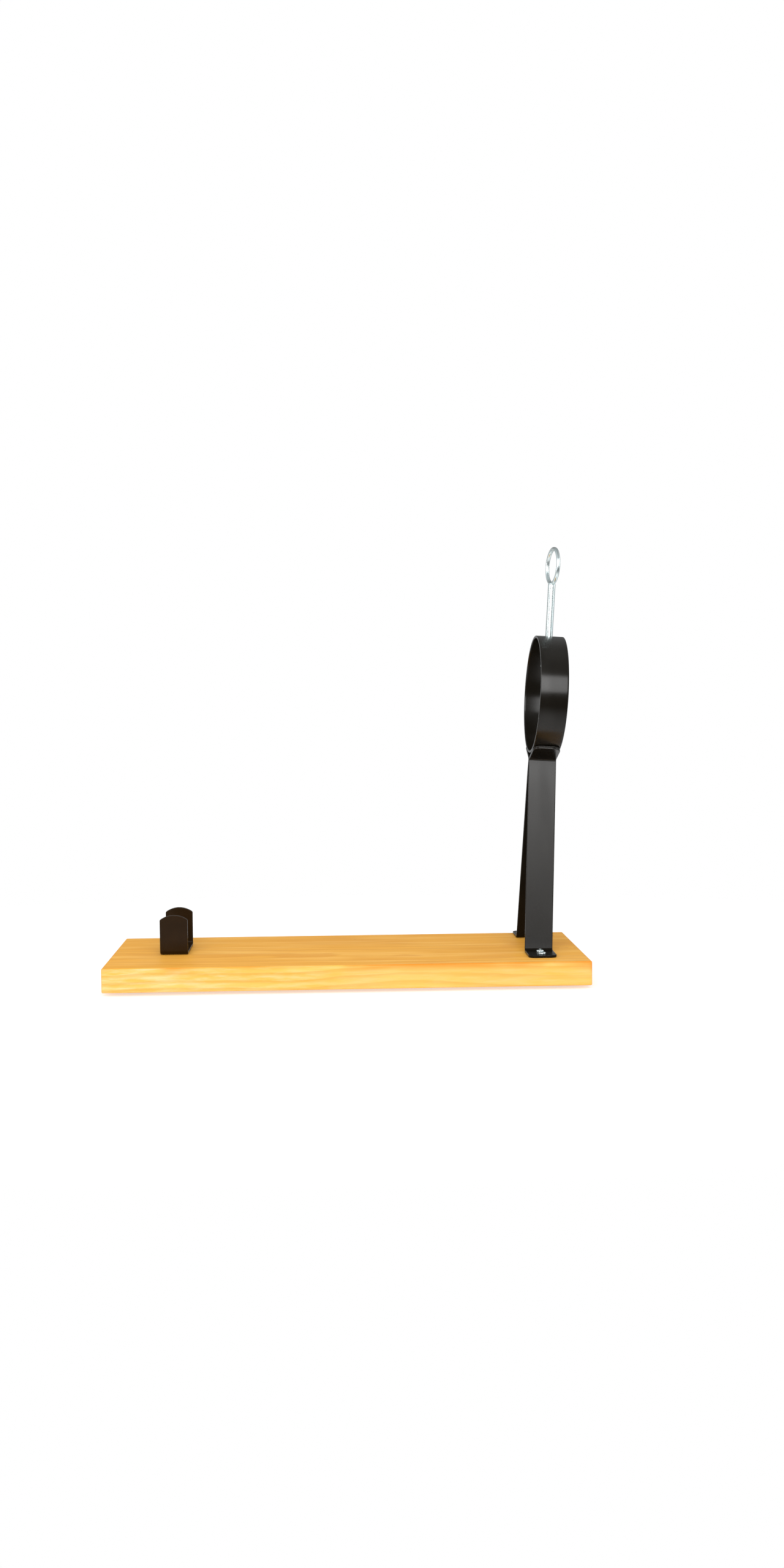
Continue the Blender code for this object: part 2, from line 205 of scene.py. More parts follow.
class MaterialTree(Tree):
    """A material's tree, which reads object coordinates and ends in one Principled shader."""

    def __init__(self, name: str) -> None:
        """Makes the material and its coordinate node."""
        self.material = bpy.data.materials.new(name)
        self.material.use_nodes = True
        super().__init__(self.material.node_tree)
        self.place = self.node("ShaderNodeTexCoord", output="Object")

    def stretched(self, scale: Point, shift: Point = (0.0, 0.0, 0.0)) -> Socket:
        """Object coordinates times a scale along each axis, then shifted."""
        return self.node("ShaderNodeMapping", {}, {"Vector": self.place, "Scale": scale, "Location": shift})

    def noise(self, scale: Point, detail: float = 2.0, roughness: float = 0.5, twist: float = 0.0) -> Socket:
        """Soft noise from 0 to 1.

        Args:
            scale: Cells per metre along X, Y and Z.
            detail: How many finer layers are added.
            roughness: How strong each finer layer is.
            twist: How much the noise distorts itself.

        Returns:
            The noise's value.
        """
        inputs = {
            "Vector": self.stretched(scale),
            "Scale": 1.0,
            "Detail": detail,
            "Roughness": roughness,
            "Distortion": twist,
        }
        return self.node("ShaderNodeTexNoise", {}, inputs)

    def mix(self, factor: Scalar, first: Any, second: Any) -> Socket:
        """Mixes two colours, each a socket or three numbers."""
        first, second = (c if isinstance(c, Socket) else (*c, 1.0) for c in (first, second))
        return self.node("ShaderNodeMix", {"data_type": "RGBA"}, {0: factor, 6: first, 7: second}, output=2)

    def bump(self, height: Socket, strength: float, depth: float, under: Optional[Socket] = None) -> Socket:
        """A bumped normal.

        Args:
            height: The relief, from 0 to 1.
            strength: How much of it shows.
            depth: What a height of 1 stands for, in metres.
            under: A bumped normal that this one is added to.

        Returns:
            The normal.
        """
        inputs = {"Height": height, "Strength": strength, "Distance": depth}
        if under is not None:
            inputs["Normal"] = under
        return self.node("ShaderNodeBump", {}, inputs)

    def finish(self, inputs: dict[str, Any]) -> bpy.types.Material:
        """Ends the tree in a Principled shader with these inputs, and returns the material."""
        shader = self.node("ShaderNodeBsdfPrincipled", {}, inputs)
        self.node("ShaderNodeOutputMaterial", {}, {"Surface": shader})
        return self.material


class GeometryTree(Tree):
    """A geometry modifier's tree with named inputs, which ends in Realize Instances and Set Material."""

    def __init__(self, name: str, inputs: dict[str, str]) -> None:
        """Makes the tree.

        Args:
            name: The tree's name.
            inputs: Each input's name and socket type, beside the geometry and the material.
        """
        super().__init__(bpy.data.node_groups.new(name, "GeometryNodeTree"))
        face = self.tree.interface
        face.new_socket("Geometry", in_out="OUTPUT", socket_type="NodeSocketGeometry")
        kinds = {"Geometry": "NodeSocketGeometry", "Material": "NodeSocketMaterial", **inputs}
        self.keys = {
            label: face.new_socket(label, in_out="INPUT", socket_type=kind).identifier
            for label, kind in kinds.items()
        }
        self.entry = self.node("NodeGroupInput")

    def given(self, label: str) -> Socket:
        """The tree's own input of that name."""
        return self.entry.output(label)

    def end(self, geometry: Socket) -> "GeometryTree":
        """Realizes the geometry, gives it the material and sends it out."""
        real = self.node("GeometryNodeRealizeInstances", {}, {"Geometry": geometry})
        inputs = {"Geometry": real, "Material": self.given("Material")}
        dressed = self.node("GeometryNodeSetMaterial", {}, inputs)
        self.node("NodeGroupOutput", {}, {"Geometry": dressed})
        return self

    def grow(self, name: str, start: bpy.types.Mesh, values: dict[str, Any]) -> bpy.types.Mesh:
        """Runs the tree once and keeps what it makes.

        Args:
            name: The new mesh's name.
            start: The mesh that the tree starts from.
            values: A value for each named input.

        Returns:
            A plain mesh.
        """
        host = linked(name, start)
        modifier = host.modifiers.new("grow", "NODES")
        modifier.node_group = self.tree
        for label, value in values.items():
            modifier[self.keys[label]] = value
        return plain_mesh(host, name)


# ---- Finishes ----


@dataclass(frozen=True)
class VarnishedPine:
    """Clear-varnished pine whose rings run through the board, with its pith line along X."""

    orange: Colour = (0.78, 0.375, 0.047)
    pale: Colour = (0.87, 0.505, 0.125)
    # Paler, less saturated tone of the long faces: painted light, for the brighter lit front face
    pale_side_painted_light: Colour = (0.84, 0.405, 0.115)
    late: Colour = (0.60, 0.225, 0.024)
    resin: Colour = (0.68, 0.215, 0.014)
    knot: Colour = (0.36, 0.105, 0.022)
    pith: tuple[float, float] = (-0.034, -0.046)
    ring_gap: float = 0.0058
    fleck: Colour = (0.91, 0.55, 0.280)
    # Each small knot's place, its half length along the grain and how dark its heart is
    knots: tuple[tuple[Point, float, float], ...] = (
        ((0.233, 0.072, 0.029), 0.0045, 0.75),
        ((0.010, 0.066, 0.029), 0.0018, 0.45),
        ((0.237, -0.012, 0.029), 0.0040, 0.22),
        ((-0.150, 0.0975, 0.0170), 0.0050, 0.55),
    )

    def rings(self, tree: MaterialTree) -> Socket:
        """How much of each growth ring is dark latewood, from 0 to 1."""
        across = tree.parts(tree.place)
        sway = tree.noise((2.6, 7.0, 7.0), 1.0) - 0.5
        ripple = tree.noise((14.0, 45.0, 45.0), 2.0) - 0.5
        y = across.output("Y") - self.pith[0] + sway * 0.055
        z = across.output("Z") - self.pith[1] + ripple * 0.006
        turn = (((y * y + z * z) ** 0.5) / self.ring_gap + across * 1.6 + self.swell(tree)).fraction()
        return turn.smooth(0.35, 0.9) * (1.0 - turn.smooth(0.92, 1.0))

    @staticmethod
    def distance(tree: MaterialTree, place: Point, length: float) -> Socket:
        """How far a spot is from a knot, in the knot's own half lengths."""
        scale = (1.0 / length, 1.7 / length, 1.7 / length)
        shift = tuple(-part * size for part, size in zip(place, scale))
        near = tree.stretched(scale, shift)
        return tree.node("ShaderNodeVectorMath", {"operation": "LENGTH"}, {0: near}, output="Value")

    def swell(self, tree: MaterialTree) -> Scalar:
        """How far the growth rings are pushed aside round the knots, in rings."""
        total: Scalar = 0.0
        for place, length, _ in self.knots:
            total = (1.0 - self.distance(tree, place, length * 2.6).smooth(0.0, 1.0)) * 2.0 + total
        return total

    def hearts(self, tree: MaterialTree) -> Scalar:
        """How dark the knots' hearts are, with uneven rims."""
        ragged = (tree.noise((500.0, 700.0, 700.0), 3.0, 0.6) - 0.5) * 0.9
        total: Scalar = 0.0
        for place, length, dark in self.knots:
            total = (1.0 - (self.distance(tree, place, length) + ragged).smooth(0.25, 1.1)) * dark + total
        return total

    def material(self) -> bpy.types.Material:
        """Builds the material."""
        tree = MaterialTree("varnished_pine")
        rings = self.rings(tree)
        fibre = tree.noise((7.0, 330.0, 330.0), 4.0, 0.6)
        cloud = tree.noise((6.0, 62.0, 62.0), 3.0, 0.55)
        patch = tree.noise((9.0, 22.0, 22.0), 2.0, 0.5, 0.4)
        flecks = tree.noise((30.0, 300.0, 300.0), 4.0, 0.65)
        edge = tree.node("ShaderNodeAttribute", {"attribute_name": "edge"}, output="Fac")
        normal = tree.node("ShaderNodeNewGeometry", output="Normal")
        place = tree.parts(tree.place)
        facing = tree.parts(normal)
        end_grain = abs(facing).smooth(0.6, 0.9)
        side = abs(facing.output("Y")).smooth(0.6, 0.9)
        colour = tree.mix(cloud.smooth(0.42, 0.72) * 0.75, self.orange, self.pale)
        # The long front and back faces are mixed towards a paler, less saturated tone here and kept freer of
        # the dark patches below: painted light, standing in for the brighter light on the front face
        colour = tree.mix(side * (0.3 + 0.5 * patch.smooth(0.35, 0.7)), colour, self.pale_side_painted_light)
        pale_end = 0.35 + 0.65 * (1.0 - place.smooth(-0.20, 0.05))
        colour = tree.mix(side * flecks.smooth(0.38, 0.72) * pale_end * 0.75, colour, self.fleck)
        colour = tree.mix(patch.smooth(0.5, 0.8) * (0.35 - side * 0.3), colour, self.late)
        colour = tree.mix(rings * 0.33, colour, self.late)
        colour = tree.mix(fibre.smooth(0.45, 0.8) * 0.22, colour, self.pale)
        colour = tree.mix((1.0 - fibre.smooth(0.2, 0.42)) * 0.3, colour, self.late)
        rubbed = edge.smooth(0.2, 0.8) * patch.smooth(0.36, 0.60) * place.output("Z").smooth(0.015, 0.025)
        colour = tree.mix(rubbed * (1.0 - end_grain) * 0.8, colour, self.resin)
        stained = side * place.output("Z").smooth(0.019, 0.030) * patch.smooth(0.42, 0.62)
        colour = tree.mix(stained * 0.75, colour, self.resin)
        colour = tree.mix(end_grain * 0.35, colour, self.late)
        colour = tree.mix(self.hearts(tree), colour, self.knot)
        relief = tree.bump(fibre * 0.5 + rings * 0.5, 0.25, 0.00012)
        return tree.finish(
            {
                "Base Color": colour,
                "Roughness": 0.55 + (cloud - 0.5) * 0.12 + end_grain * 0.15,
                "Specular IOR Level": 0.14,
                "Coat Weight": 0.03 - end_grain * 0.02,
                "Coat Roughness": 0.22,
                "Normal": relief,
            }
        )


@dataclass(frozen=True)
class SatinPaint:
    """Black-brown stoving paint on bar: a soft sheen that is painted weaker towards the floor as painted
    shade, a fine orange peel and a little wear at the edges.
    """

    name: str
    colour: Colour = (0.0062, 0.0050, 0.0034)
    worn: Colour = (0.085, 0.080, 0.074)
    roughness: float = 0.24

    def material(self) -> bpy.types.Material:
        """Builds the material."""
        tree = MaterialTree(self.name)
        peel = tree.noise((1500.0, 1500.0, 1500.0), 2.0)
        cloud = tree.noise((46.0, 46.0, 46.0), 3.0, 0.55)
        smear = tree.noise((44.0, 44.0, 4.0), 1.0).smooth(0.32, 0.66)
        height = tree.parts(tree.place).output("Z")
        chips = tree.noise((420.0, 420.0, 420.0), 3.0, 0.65)
        edge = tree.node("ShaderNodeAttribute", {"attribute_name": "edge"}, output="Fac")
        wear = edge.smooth(0.5, 0.95) * chips.smooth(0.60, 0.72)
        colour = tree.mix(cloud.smooth(0.3, 0.8) * 0.5, self.colour, [1.5 * part for part in self.colour])
        colour = tree.mix(wear * 0.7, colour, self.worn)
        rough = self.roughness + (cloud - 0.5) * 0.12 + (smear - 0.5) * 0.08 + wear * 0.2
        # Coat weight falls off towards the bottom of each piece: painted shade in the sheen, standing in for
        # a reflection that dims lower down
        sheen_painted_by_height = (0.28 + smear * 0.18 + cloud * 0.12) * (0.10 + height.smooth(0.05, 0.34))
        return tree.finish(
            {
                "Base Color": colour,
                "Roughness": rough,
                "Specular IOR Level": 0.08,
                "Coat Weight": sheen_painted_by_height,
                "Coat Roughness": 0.19,
                "Normal": tree.bump(peel, 0.14, 0.00006, tree.bump(cloud, 0.25, 0.0004)),
            }
        )


@dataclass(frozen=True)
class BrightZinc:
    """Bright zinc plating with a faint blue cast."""

    name: str = "bright_zinc"
    blue: Colour = (0.73, 0.83, 0.84)
    warm: Colour = (0.84, 0.86, 0.83)
    roughness: float = 0.27
    # Cells per metre of the drawn lines: few along the piece and many across it
    grain: Point = (2600.0, 2600.0, 90.0)

    def material(self) -> bpy.types.Material:
        """Builds the material."""
        tree = MaterialTree(self.name)
        cast = tree.noise((120.0, 120.0, 60.0), 3.0)
        drawn = tree.noise(self.grain, 3.0, 0.6)
        spots = tree.noise((700.0, 700.0, 700.0), 3.0, 0.6)
        dull = spots.smooth(0.58, 0.78)
        colour = tree.mix(cast.smooth(0.35, 0.75) * 0.6, self.blue, self.warm)
        colour = tree.mix(dull * 0.25, colour, (0.50, 0.53, 0.54))
        return tree.finish(
            {
                "Base Color": colour,
                "Metallic": 1.0,
                "Roughness": self.roughness + (drawn - 0.5) * 0.10 + dull * 0.14,
                "Normal": tree.bump(drawn, 0.10, 0.00003),
            }
        )


@dataclass(frozen=True)
class TurnedSteel:
    """Plain steel turned on a lathe, with fine rings round it."""

    colour: Colour = (0.56, 0.55, 0.53)
    stain: Colour = (0.36, 0.33, 0.30)
    pitch: float = 0.0004

    def material(self) -> bpy.types.Material:
        """Builds the material."""
        tree = MaterialTree("turned_steel")
        height = tree.parts(tree.place).output("Z")
        lines = abs((height / self.pitch).fraction() - 0.5) * 2.0
        cloud = tree.noise((300.0, 300.0, 160.0), 3.0, 0.6)
        return tree.finish(
            {
                "Base Color": tree.mix(cloud.smooth(0.45, 0.8) * 0.6, self.colour, self.stain),
                "Metallic": 1.0,
                "Roughness": 0.26 + cloud * 0.16,
                "Normal": tree.bump(lines, 0.2, 0.00004),
            }
        )


@dataclass(frozen=True)
class MouldedRubber:
    """Black moulded rubber with a fine matt skin."""

    colour: Colour = (0.016, 0.016, 0.017)
    dust: Colour = (0.060, 0.057, 0.052)

    def material(self) -> bpy.types.Material:
        """Builds the material."""
        tree = MaterialTree("moulded_rubber")
        skin = tree.noise((2200.0, 2200.0, 2200.0), 2.0)
        cloud = tree.noise((260.0, 260.0, 260.0), 3.0, 0.6)
        return tree.finish(
            {
                "Base Color": tree.mix(cloud.smooth(0.5, 0.85) * 0.5, self.colour, self.dust),
                "Roughness": 0.68 + (cloud - 0.5) * 0.2,
                "Normal": tree.bump(skin, 0.25, 0.00006),
            }
        )


# ---- Shapes ----


def linked(name: str, data: Any) -> bpy.types.Object:
    """Makes an object of this data and links it to the scene."""
    made = bpy.data.objects.new(name, data)
    bpy.context.scene.collection.objects.link(made)
    return made


def plain_mesh(host: bpy.types.Object, name: str) -> bpy.types.Mesh:
    """Takes an object's evaluated shape as a plain mesh, and removes the object.

    Args:
        host: The object with its modifiers.
        name: The new mesh's name.

    Returns:
        The mesh with every modifier's work in it.
    """
    bpy.context.view_layer.update()
    view = bpy.context.evaluated_depsgraph_get()
    mesh = bpy.data.meshes.new_from_object(host.evaluated_get(view))
    mesh.name = name
    bpy.data.objects.remove(host)
    return mesh


def put_in_order(shape: bmesh.types.BMesh) -> None:
    """Sorts edges and faces by their vertices, as some of Blender's tools order them anew in each run."""
    shape.verts.index_update()
    count = len(shape.verts)

    def rank(item: Union[bmesh.types.BMEdge, bmesh.types.BMFace]) -> int:
        """One number made of the item's lowest vertex numbers, at most three of them."""
        value = 0
        for index in sorted(vert.index for vert in item.verts)[:3]:
            value = value * count + index
        return value

    for items in (shape.edges, shape.faces):
        items.sort(key=rank)
        items.index_update()


def mesh_of(shape: bmesh.types.BMesh, name: str) -> bpy.types.Mesh:
    """Closes a shape's seams, turns its faces outwards and makes it a smooth mesh.

    Args:
        shape: The closed shape, which is freed.
        name: The mesh's name.

    Returns:
        The mesh.
    """
    bmesh.ops.remove_doubles(shape, verts=shape.verts, dist=MERGE)
    flat = [face for face in shape.faces if face.calc_area() < MERGE**2]
    bmesh.ops.delete(shape, geom=flat, context="FACES_ONLY")
    bmesh.ops.recalc_face_normals(shape, faces=shape.faces)
    mesh = bpy.data.meshes.new(name)
    shape.to_mesh(mesh)
    shape.free()
    mesh.shade_smooth()
    mesh.set_sharp_from_angle(angle=SMOOTH_ANGLE)
    return mesh


def mark_edges(mesh: bpy.types.Mesh) -> None:
    """Stores how sharply the surface bends at each vertex, for finishes that wear at their edges.

    Args:
        mesh: The mesh that gets the attribute "edge", 0 on flats and 1 on edges.
    """
    shape = bmesh.new()
    shape.from_mesh(mesh)
    bends = [max((abs(e.calc_face_angle(0.0)) for e in v.link_edges), default=0.0) for v in shape.verts]
    shape.free()
    attribute = mesh.attributes.new("edge", "FLOAT", "POINT")
    attribute.data.foreach_set("value", [min(1.0, bend / FULL_BEND) for bend in bends])


def arc(centre: Flat, radius: float, start: float, end: float, steps: int) -> list[Flat]:
    """Points round an arc in a plane, its angles in degrees."""
    turns = [math.radians(start + (end - start) * i / steps) for i in range(steps + 1)]
    return [(centre[0] + radius * math.cos(t), centre[1] + radius * math.sin(t)) for t in turns]


def turned(
    name: str, profile: Sequence[Flat], segments: int, place: Matrix, closed: bool = False
) -> bpy.types.Mesh:
    """Turns a profile round the Z axis.

    Args:
        name: The mesh's name.
        profile: (radius, height) points. An open profile starts and ends on the axis.
        segments: How many steps the turn has.
        place: Where the piece stands.
        closed: Whether the profile is a loop, for a piece with a bore.

    Returns:
        The turned mesh.
    """
    shape = bmesh.new()
    rings = []
    for radius, height in profile:
        turns = [2 * math.pi * i / segments for i in range(segments)]
        spots = [Vector((radius * math.cos(t), radius * math.sin(t), height)) for t in turns]
        rings.append([shape.verts.new(place @ spot) for spot in spots])
    pairs = list(zip(rings, rings[1:]))
    if closed:
        pairs.append((rings[-1], rings[0]))
    for upper, lower in pairs:
        for i in range(segments):
            j = (i + 1) % segments
            shape.faces.new((upper[i], upper[j], lower[j], lower[i]))
    return mesh_of(shape, name)


@dataclass(frozen=True)
class BentLine:
    """A line of straight runs and round bends in a plane, as (outwards, up).

    Attributes:
        corners: Its end points and the corners between them.
        radii: The radius of the bend at each corner between.
        step: The longest straight step, in metres.
        bend_step: The largest turn of one step round a bend, in radians.
    """

    corners: tuple[Flat, ...]
    radii: tuple[float, ...]
    step: float = 0.006
    bend_step: float = math.radians(9.0)

    def run(self, start: Vector, end: Vector) -> list[tuple[Vector, Vector]]:
        """Points along a straight run, without its end, each with its direction."""
        count = max(1, math.ceil((end - start).length / self.step))
        ahead = (end - start).normalized()
        return [(start.lerp(end, i / count), ahead) for i in range(count)]

    def points(self) -> list[tuple[Vector, Vector]]:
        """Every point of the line with its direction."""
        spots = [Vector(corner) for corner in self.corners]
        made: list[tuple[Vector, Vector]] = []
        last = spots[0]
        for before, corner, after, radius in zip(spots, spots[1:], spots[2:], self.radii):
            back = (before - corner).normalized()
            ahead = (after - corner).normalized()
            half = back.angle(ahead) / 2
            centre = corner + (back + ahead).normalized() * radius / math.sin(half)
            start = corner + back * radius / math.tan(half)
            end = corner + ahead * radius / math.tan(half)
            sweep = (start - centre).angle_signed(end - centre)
            count = max(1, math.ceil(abs(sweep) / self.bend_step))
            made += self.run(last, start)
            for i in range(count):
                turn = Matrix.Rotation(-sweep * i / count, 2)
                made.append((centre + turn @ (start - centre), turn @ -back))
            last = end
        made += self.run(last, spots[-1])
        made.append((spots[-1], (spots[-1] - last).normalized()))
        return made


@dataclass(frozen=True)
class EndRow:
    """One row of a plate's end: its distance from the end, its half width and its outward direction."""

    back: float
    half: float
    along: float
    across: float


Step = tuple[Vector, Vector]
Row = tuple[Vector, Vector, EndRow]


@dataclass(frozen=True)
class RoundedEnd:
    """A square end with rounded corners."""

    radius: float
    steps: int = 8

    def rows(self, half: float) -> list[EndRow]:
        """The rows from the full width to the end."""
        made = []
        for i in range(self.steps + 1):
            turn = math.pi / 2 * i / self.steps
            back = self.radius * (1 - math.sin(turn))
            narrowed = half - self.radius * (1 - math.cos(turn))
            made.append(EndRow(back, narrowed, math.sin(turn), math.cos(turn)))
        return made


@dataclass(frozen=True)
class ArchedEnd:
    """An end that is one shallow arc, with small rounded corners at its sides."""

    radius: float
    corner: float = 0.0022
    steps: int = 14

    def rows(self, half: float) -> list[EndRow]:
        """The rows from the full width to the arch's top."""
        inner = self.radius - self.corner
        lean = math.asin((half - self.corner) / inner)
        low = self.radius - inner * math.cos(lean)
        made = []
        for i in range(5):
            turn = (math.pi / 2 - lean) * i / 4
            spot = half - self.corner + self.corner * math.cos(turn)
            made.append(EndRow(low - self.corner * math.sin(turn), spot, math.sin(turn), math.cos(turn)))
        for i in range(1, self.steps + 1):
            turn = lean * (1 - i / self.steps)
            back = self.radius * (1 - math.cos(turn))
            made.append(EndRow(back, self.radius * math.sin(turn), math.cos(turn), math.sin(turn)))
        return made


@dataclass(frozen=True)
class Plate:
    """A flat bar or board with rounded edges, bent along a line in the plane across its width.

    Attributes:
        width: Its full width.
        thickness: How thick it is.
        edge: The radius of its rounded edges.
        columns: How many faces lie side by side across it.
    """

    width: float
    thickness: float
    edge: float
    columns: int = 8
    edge_steps: int = 3
    support: float = 0.0006

    def rim(self) -> list[Flat]:
        """The edge's section from the upper face to the lower one, as (inset, height)."""
        quarter = [math.pi / 2 * i / self.edge_steps for i in range(self.edge_steps + 1)]
        upper = [(self.edge * (1 - math.sin(t)), -self.edge * (1 - math.cos(t))) for t in quarter]
        upper.append((0.0, -self.edge - self.support))
        lower = [(inset, -self.thickness - height) for inset, height in reversed(upper)]
        inner = self.edge + self.support
        return [(inner, 0.0), *upper, *lower, (inner, -self.thickness)]

    def rows(self, line: list[Step], ends: Sequence[Any]) -> list[Row]:
        """The rows of the plate: a point, a direction and an outline for each.

        Args:
            line: The points and directions of the upper face's middle line.
            ends: The shape of the first end and of the last one.

        Returns:
            The rows, with the ends' own rows in place of what the line has there.
        """
        half = self.width / 2
        made = []
        for end, flip in zip(ends, (1.0, -1.0)):
            tip, ahead = line[0] if flip > 0 else line[-1]
            shaped = end.rows(half)
            reach = shaped[0].back + self.support
            inwards = ahead * flip
            rows = []
            for row in shaped:
                outline = EndRow(row.back, row.half, -flip * row.along, row.across)
                rows.append((tip + inwards * row.back, ahead, outline))
            made.append((reach, tip, rows[::-1] if flip > 0 else rows))
        (first_reach, first_tip, first), (last_reach, last_tip, last) = made
        full = EndRow(0.0, half, 0.0, 1.0)
        middle = [
            (point, ahead, full)
            for point, ahead in line
            if (point - first_tip).length > first_reach and (point - last_tip).length > last_reach
        ]
        return [*first, *middle, *last]

    def mesh(
        self,
        name: str,
        line: list[Step],
        ends: Sequence[Any],
        place: Callable[[float, float, float], Sequence[float]],
    ) -> bpy.types.Mesh:
        """Builds the plate.

        Args:
            name: The mesh's name.
            line: The upper face's middle line, as points and directions.
            ends: The shape of the first end and of the last one.
            place: Turns (across, outwards, up) into a place in the frame.

        Returns:
            The closed mesh.
        """
        shape = bmesh.new()
        rim = self.rim()

        def spot(row: Row, inset: float, height: float, share: float) -> bmesh.types.BMVert:
            """One vertex, at an inset and height of the rim and a share of the half width."""
            point, ahead, outline = row
            normal = Vector((-ahead.y, ahead.x))
            at = point - ahead * (inset * outline.along) + normal * height
            across = (outline.half - inset * outline.across) * share
            return shape.verts.new(place(across, at.x, at.y))

        shares = [2 * i / self.columns - 1 for i in range(self.columns + 1)]
        rows = self.rows(line, ends)
        loops = []
        for row in rows:
            upper = [spot(row, *rim[0], share) for share in shares]
            right = [spot(row, *level, 1.0) for level in rim[1:-1]]
            lower = [spot(row, *rim[-1], share) for share in reversed(shares)]
            left = [spot(row, *level, -1.0) for level in reversed(rim[1:-1])]
            loops.append([*upper, *right, *lower, *left])
        for low, high in zip(loops, loops[1:]):
            for i in range(len(low)):
                j = (i + 1) % len(low)
                shape.faces.new((low[i], low[j], high[j], high[i]))
        for row in (rows[0], rows[-1]):
            levels = [[spot(row, *level, share) for share in shares] for level in rim]
            for above, below in zip(levels, levels[1:]):
                for i in range(self.columns):
                    shape.faces.new((above[i], above[i + 1], below[i + 1], below[i]))
        return mesh_of(shape, name)


def add_piece(
    mesh: bpy.types.Mesh, material: bpy.types.Material, body: Body, slot: Slot, nodes: Sequence[str]
) -> bpy.types.Object:
    """Shows a finished mesh in place of CAD nodes.

    Args:
        mesh: The mesh, whose name is the piece's.
        material: Its material.
        body: The body that it rides on.
        slot: The record's material slot; not used.
        nodes: The CAD nodes that it stands for.

    Returns:
        The piece.
    """
    piece = linked(mesh.name, mesh)
    mesh.materials.clear()
    mesh.materials.append(material)
    mark_edges(mesh)
    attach(piece, body.value)
    if nodes:
        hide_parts(*nodes)
    shown = ", ".join(nodes) or "no node"
    LOG.info("%s: %d faces on %s, for %s", piece.name, len(mesh.polygons), body.value, shown)
    return piece


def middle(node: str) -> Vector:
    """The middle of a CAD node's box."""
    low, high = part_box(node)
    return (low + high) / 2


# ---- Repeats ----


@dataclass
class Copies:
    """Copies one piece to many places, each copy turned and sized a little differently.

    Attributes:
        spread: The largest angle that a copy is turned by, in radians.
        least: The smallest size that a copy may have, beside 1.
        seed: What the turns and sizes are drawn from.
    """

    spread: float = 0.0
    least: float = 1.0
    seed: int = 7

    @staticmethod
    def tree() -> GeometryTree:
        """A tree that puts a piece on each point."""
        kinds = {"Piece": "NodeSocketObject", "Seed": "NodeSocketInt"}
        kinds |= {"Spread": "NodeSocketFloat", "Least": "NodeSocketFloat"}
        tree = GeometryTree("copies_on_points", kinds)
        piece = tree.node("GeometryNodeObjectInfo", {}, {"Object": tree.given("Piece")}, output="Geometry")
        seed = tree.given("Seed")

        def drawn(low: Scalar, high: Scalar, seed: Scalar) -> Socket:
            """A random number for each point."""
            return tree.node(
                "FunctionNodeRandomValue", {"data_type": "FLOAT"}, {2: low, 3: high, "Seed": seed}, output=1
            )

        turn = tree.node("ShaderNodeCombineXYZ", {}, {2: drawn(0.0, tree.given("Spread"), seed)})
        inputs = {
            "Points": tree.given("Geometry"),
            "Instance": piece,
            "Rotation": turn,
            "Scale": drawn(tree.given("Least"), 1.0, seed + 1.0),
        }
        return tree.end(tree.node("GeometryNodeInstanceOnPoints", {}, inputs))

    def make(
        self, name: str, piece: bpy.types.Mesh, spots: Sequence[Vector], material: bpy.types.Material
    ) -> bpy.types.Mesh:
        """Makes one mesh of all the copies.

        Args:
            name: The new mesh's name.
            piece: The piece, standing on the origin.
            spots: Where the copies stand.
            material: What they are made of.

        Returns:
            The mesh.
        """
        model = linked(name + "_model", piece)
        points = bpy.data.meshes.new(name + "_points")
        points.from_pydata([tuple(spot) for spot in spots], [], [])
        values = {"Piece": model, "Material": material, "Spread": self.spread}
        values |= {"Least": self.least, "Seed": self.seed}
        mesh = self.tree().grow(name, points, values)
        bpy.data.objects.remove(model)
        return mesh


@dataclass(frozen=True)
class WeldBead:
    """A weld, as a row of small overlapping drops."""

    radius: float = 0.0011
    pitch: float = 0.0009

    def mesh(self, name: str, seam: Sequence[Vector], material: bpy.types.Material) -> bpy.types.Mesh:
        """Lays drops along a seam.

        Args:
            name: The mesh's name.
            seam: The points that the seam runs through.
            material: What it is painted or plated with.

        Returns:
            The bead.
        """
        spots = [seam[0]]
        for start, end in zip(seam, seam[1:]):
            count = max(1, round((end - start).length / self.pitch))
            spots += [start.lerp(end, (i + 1) / count) for i in range(count)]
        drop = bmesh.new()
        bmesh.ops.create_uvsphere(drop, u_segments=14, v_segments=9, radius=self.radius)
        put_in_order(drop)
        return Copies(math.pi, 0.86).make(name, mesh_of(drop, "drop"), spots, material)


# ---- Sub-assemblies ----


@dataclass
class Board:
    """The pine board."""

    pine: bpy.types.Material
    arris: float = 0.0013
    corner: float = 0.0016

    def build(self) -> None:
        """Makes the board as one thick plate that runs along X."""
        low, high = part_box("base_board")
        plate = Plate(high.y - low.y, high.z - low.z, self.arris, columns=24, support=0.0002)
        line = BentLine(((low.x, high.z), (high.x, high.z)), (), step=0.01)
        ends = (RoundedEnd(self.corner, 4), RoundedEnd(self.corner, 4))

        def lie(across: float, along: float, up: float) -> Point:
            """Lays the plate along the board's axis."""
            return along, (low.y + high.y) / 2 + across, up

        mesh = plate.mesh("pine_board", line.points(), ends, lie)
        add_piece(mesh, self.pine, Body.STAND, Slot.PINE, ["base_board"])


@dataclass
class Bar:
    """The flat bar that the cradle, the legs and the ring are bent from."""

    width: float = 0.0295
    thickness: float = 0.0025
    edge: float = 0.00055

    def plate(self) -> Plate:
        """The bar as a plate."""
        return Plate(self.width, self.thickness, self.edge)


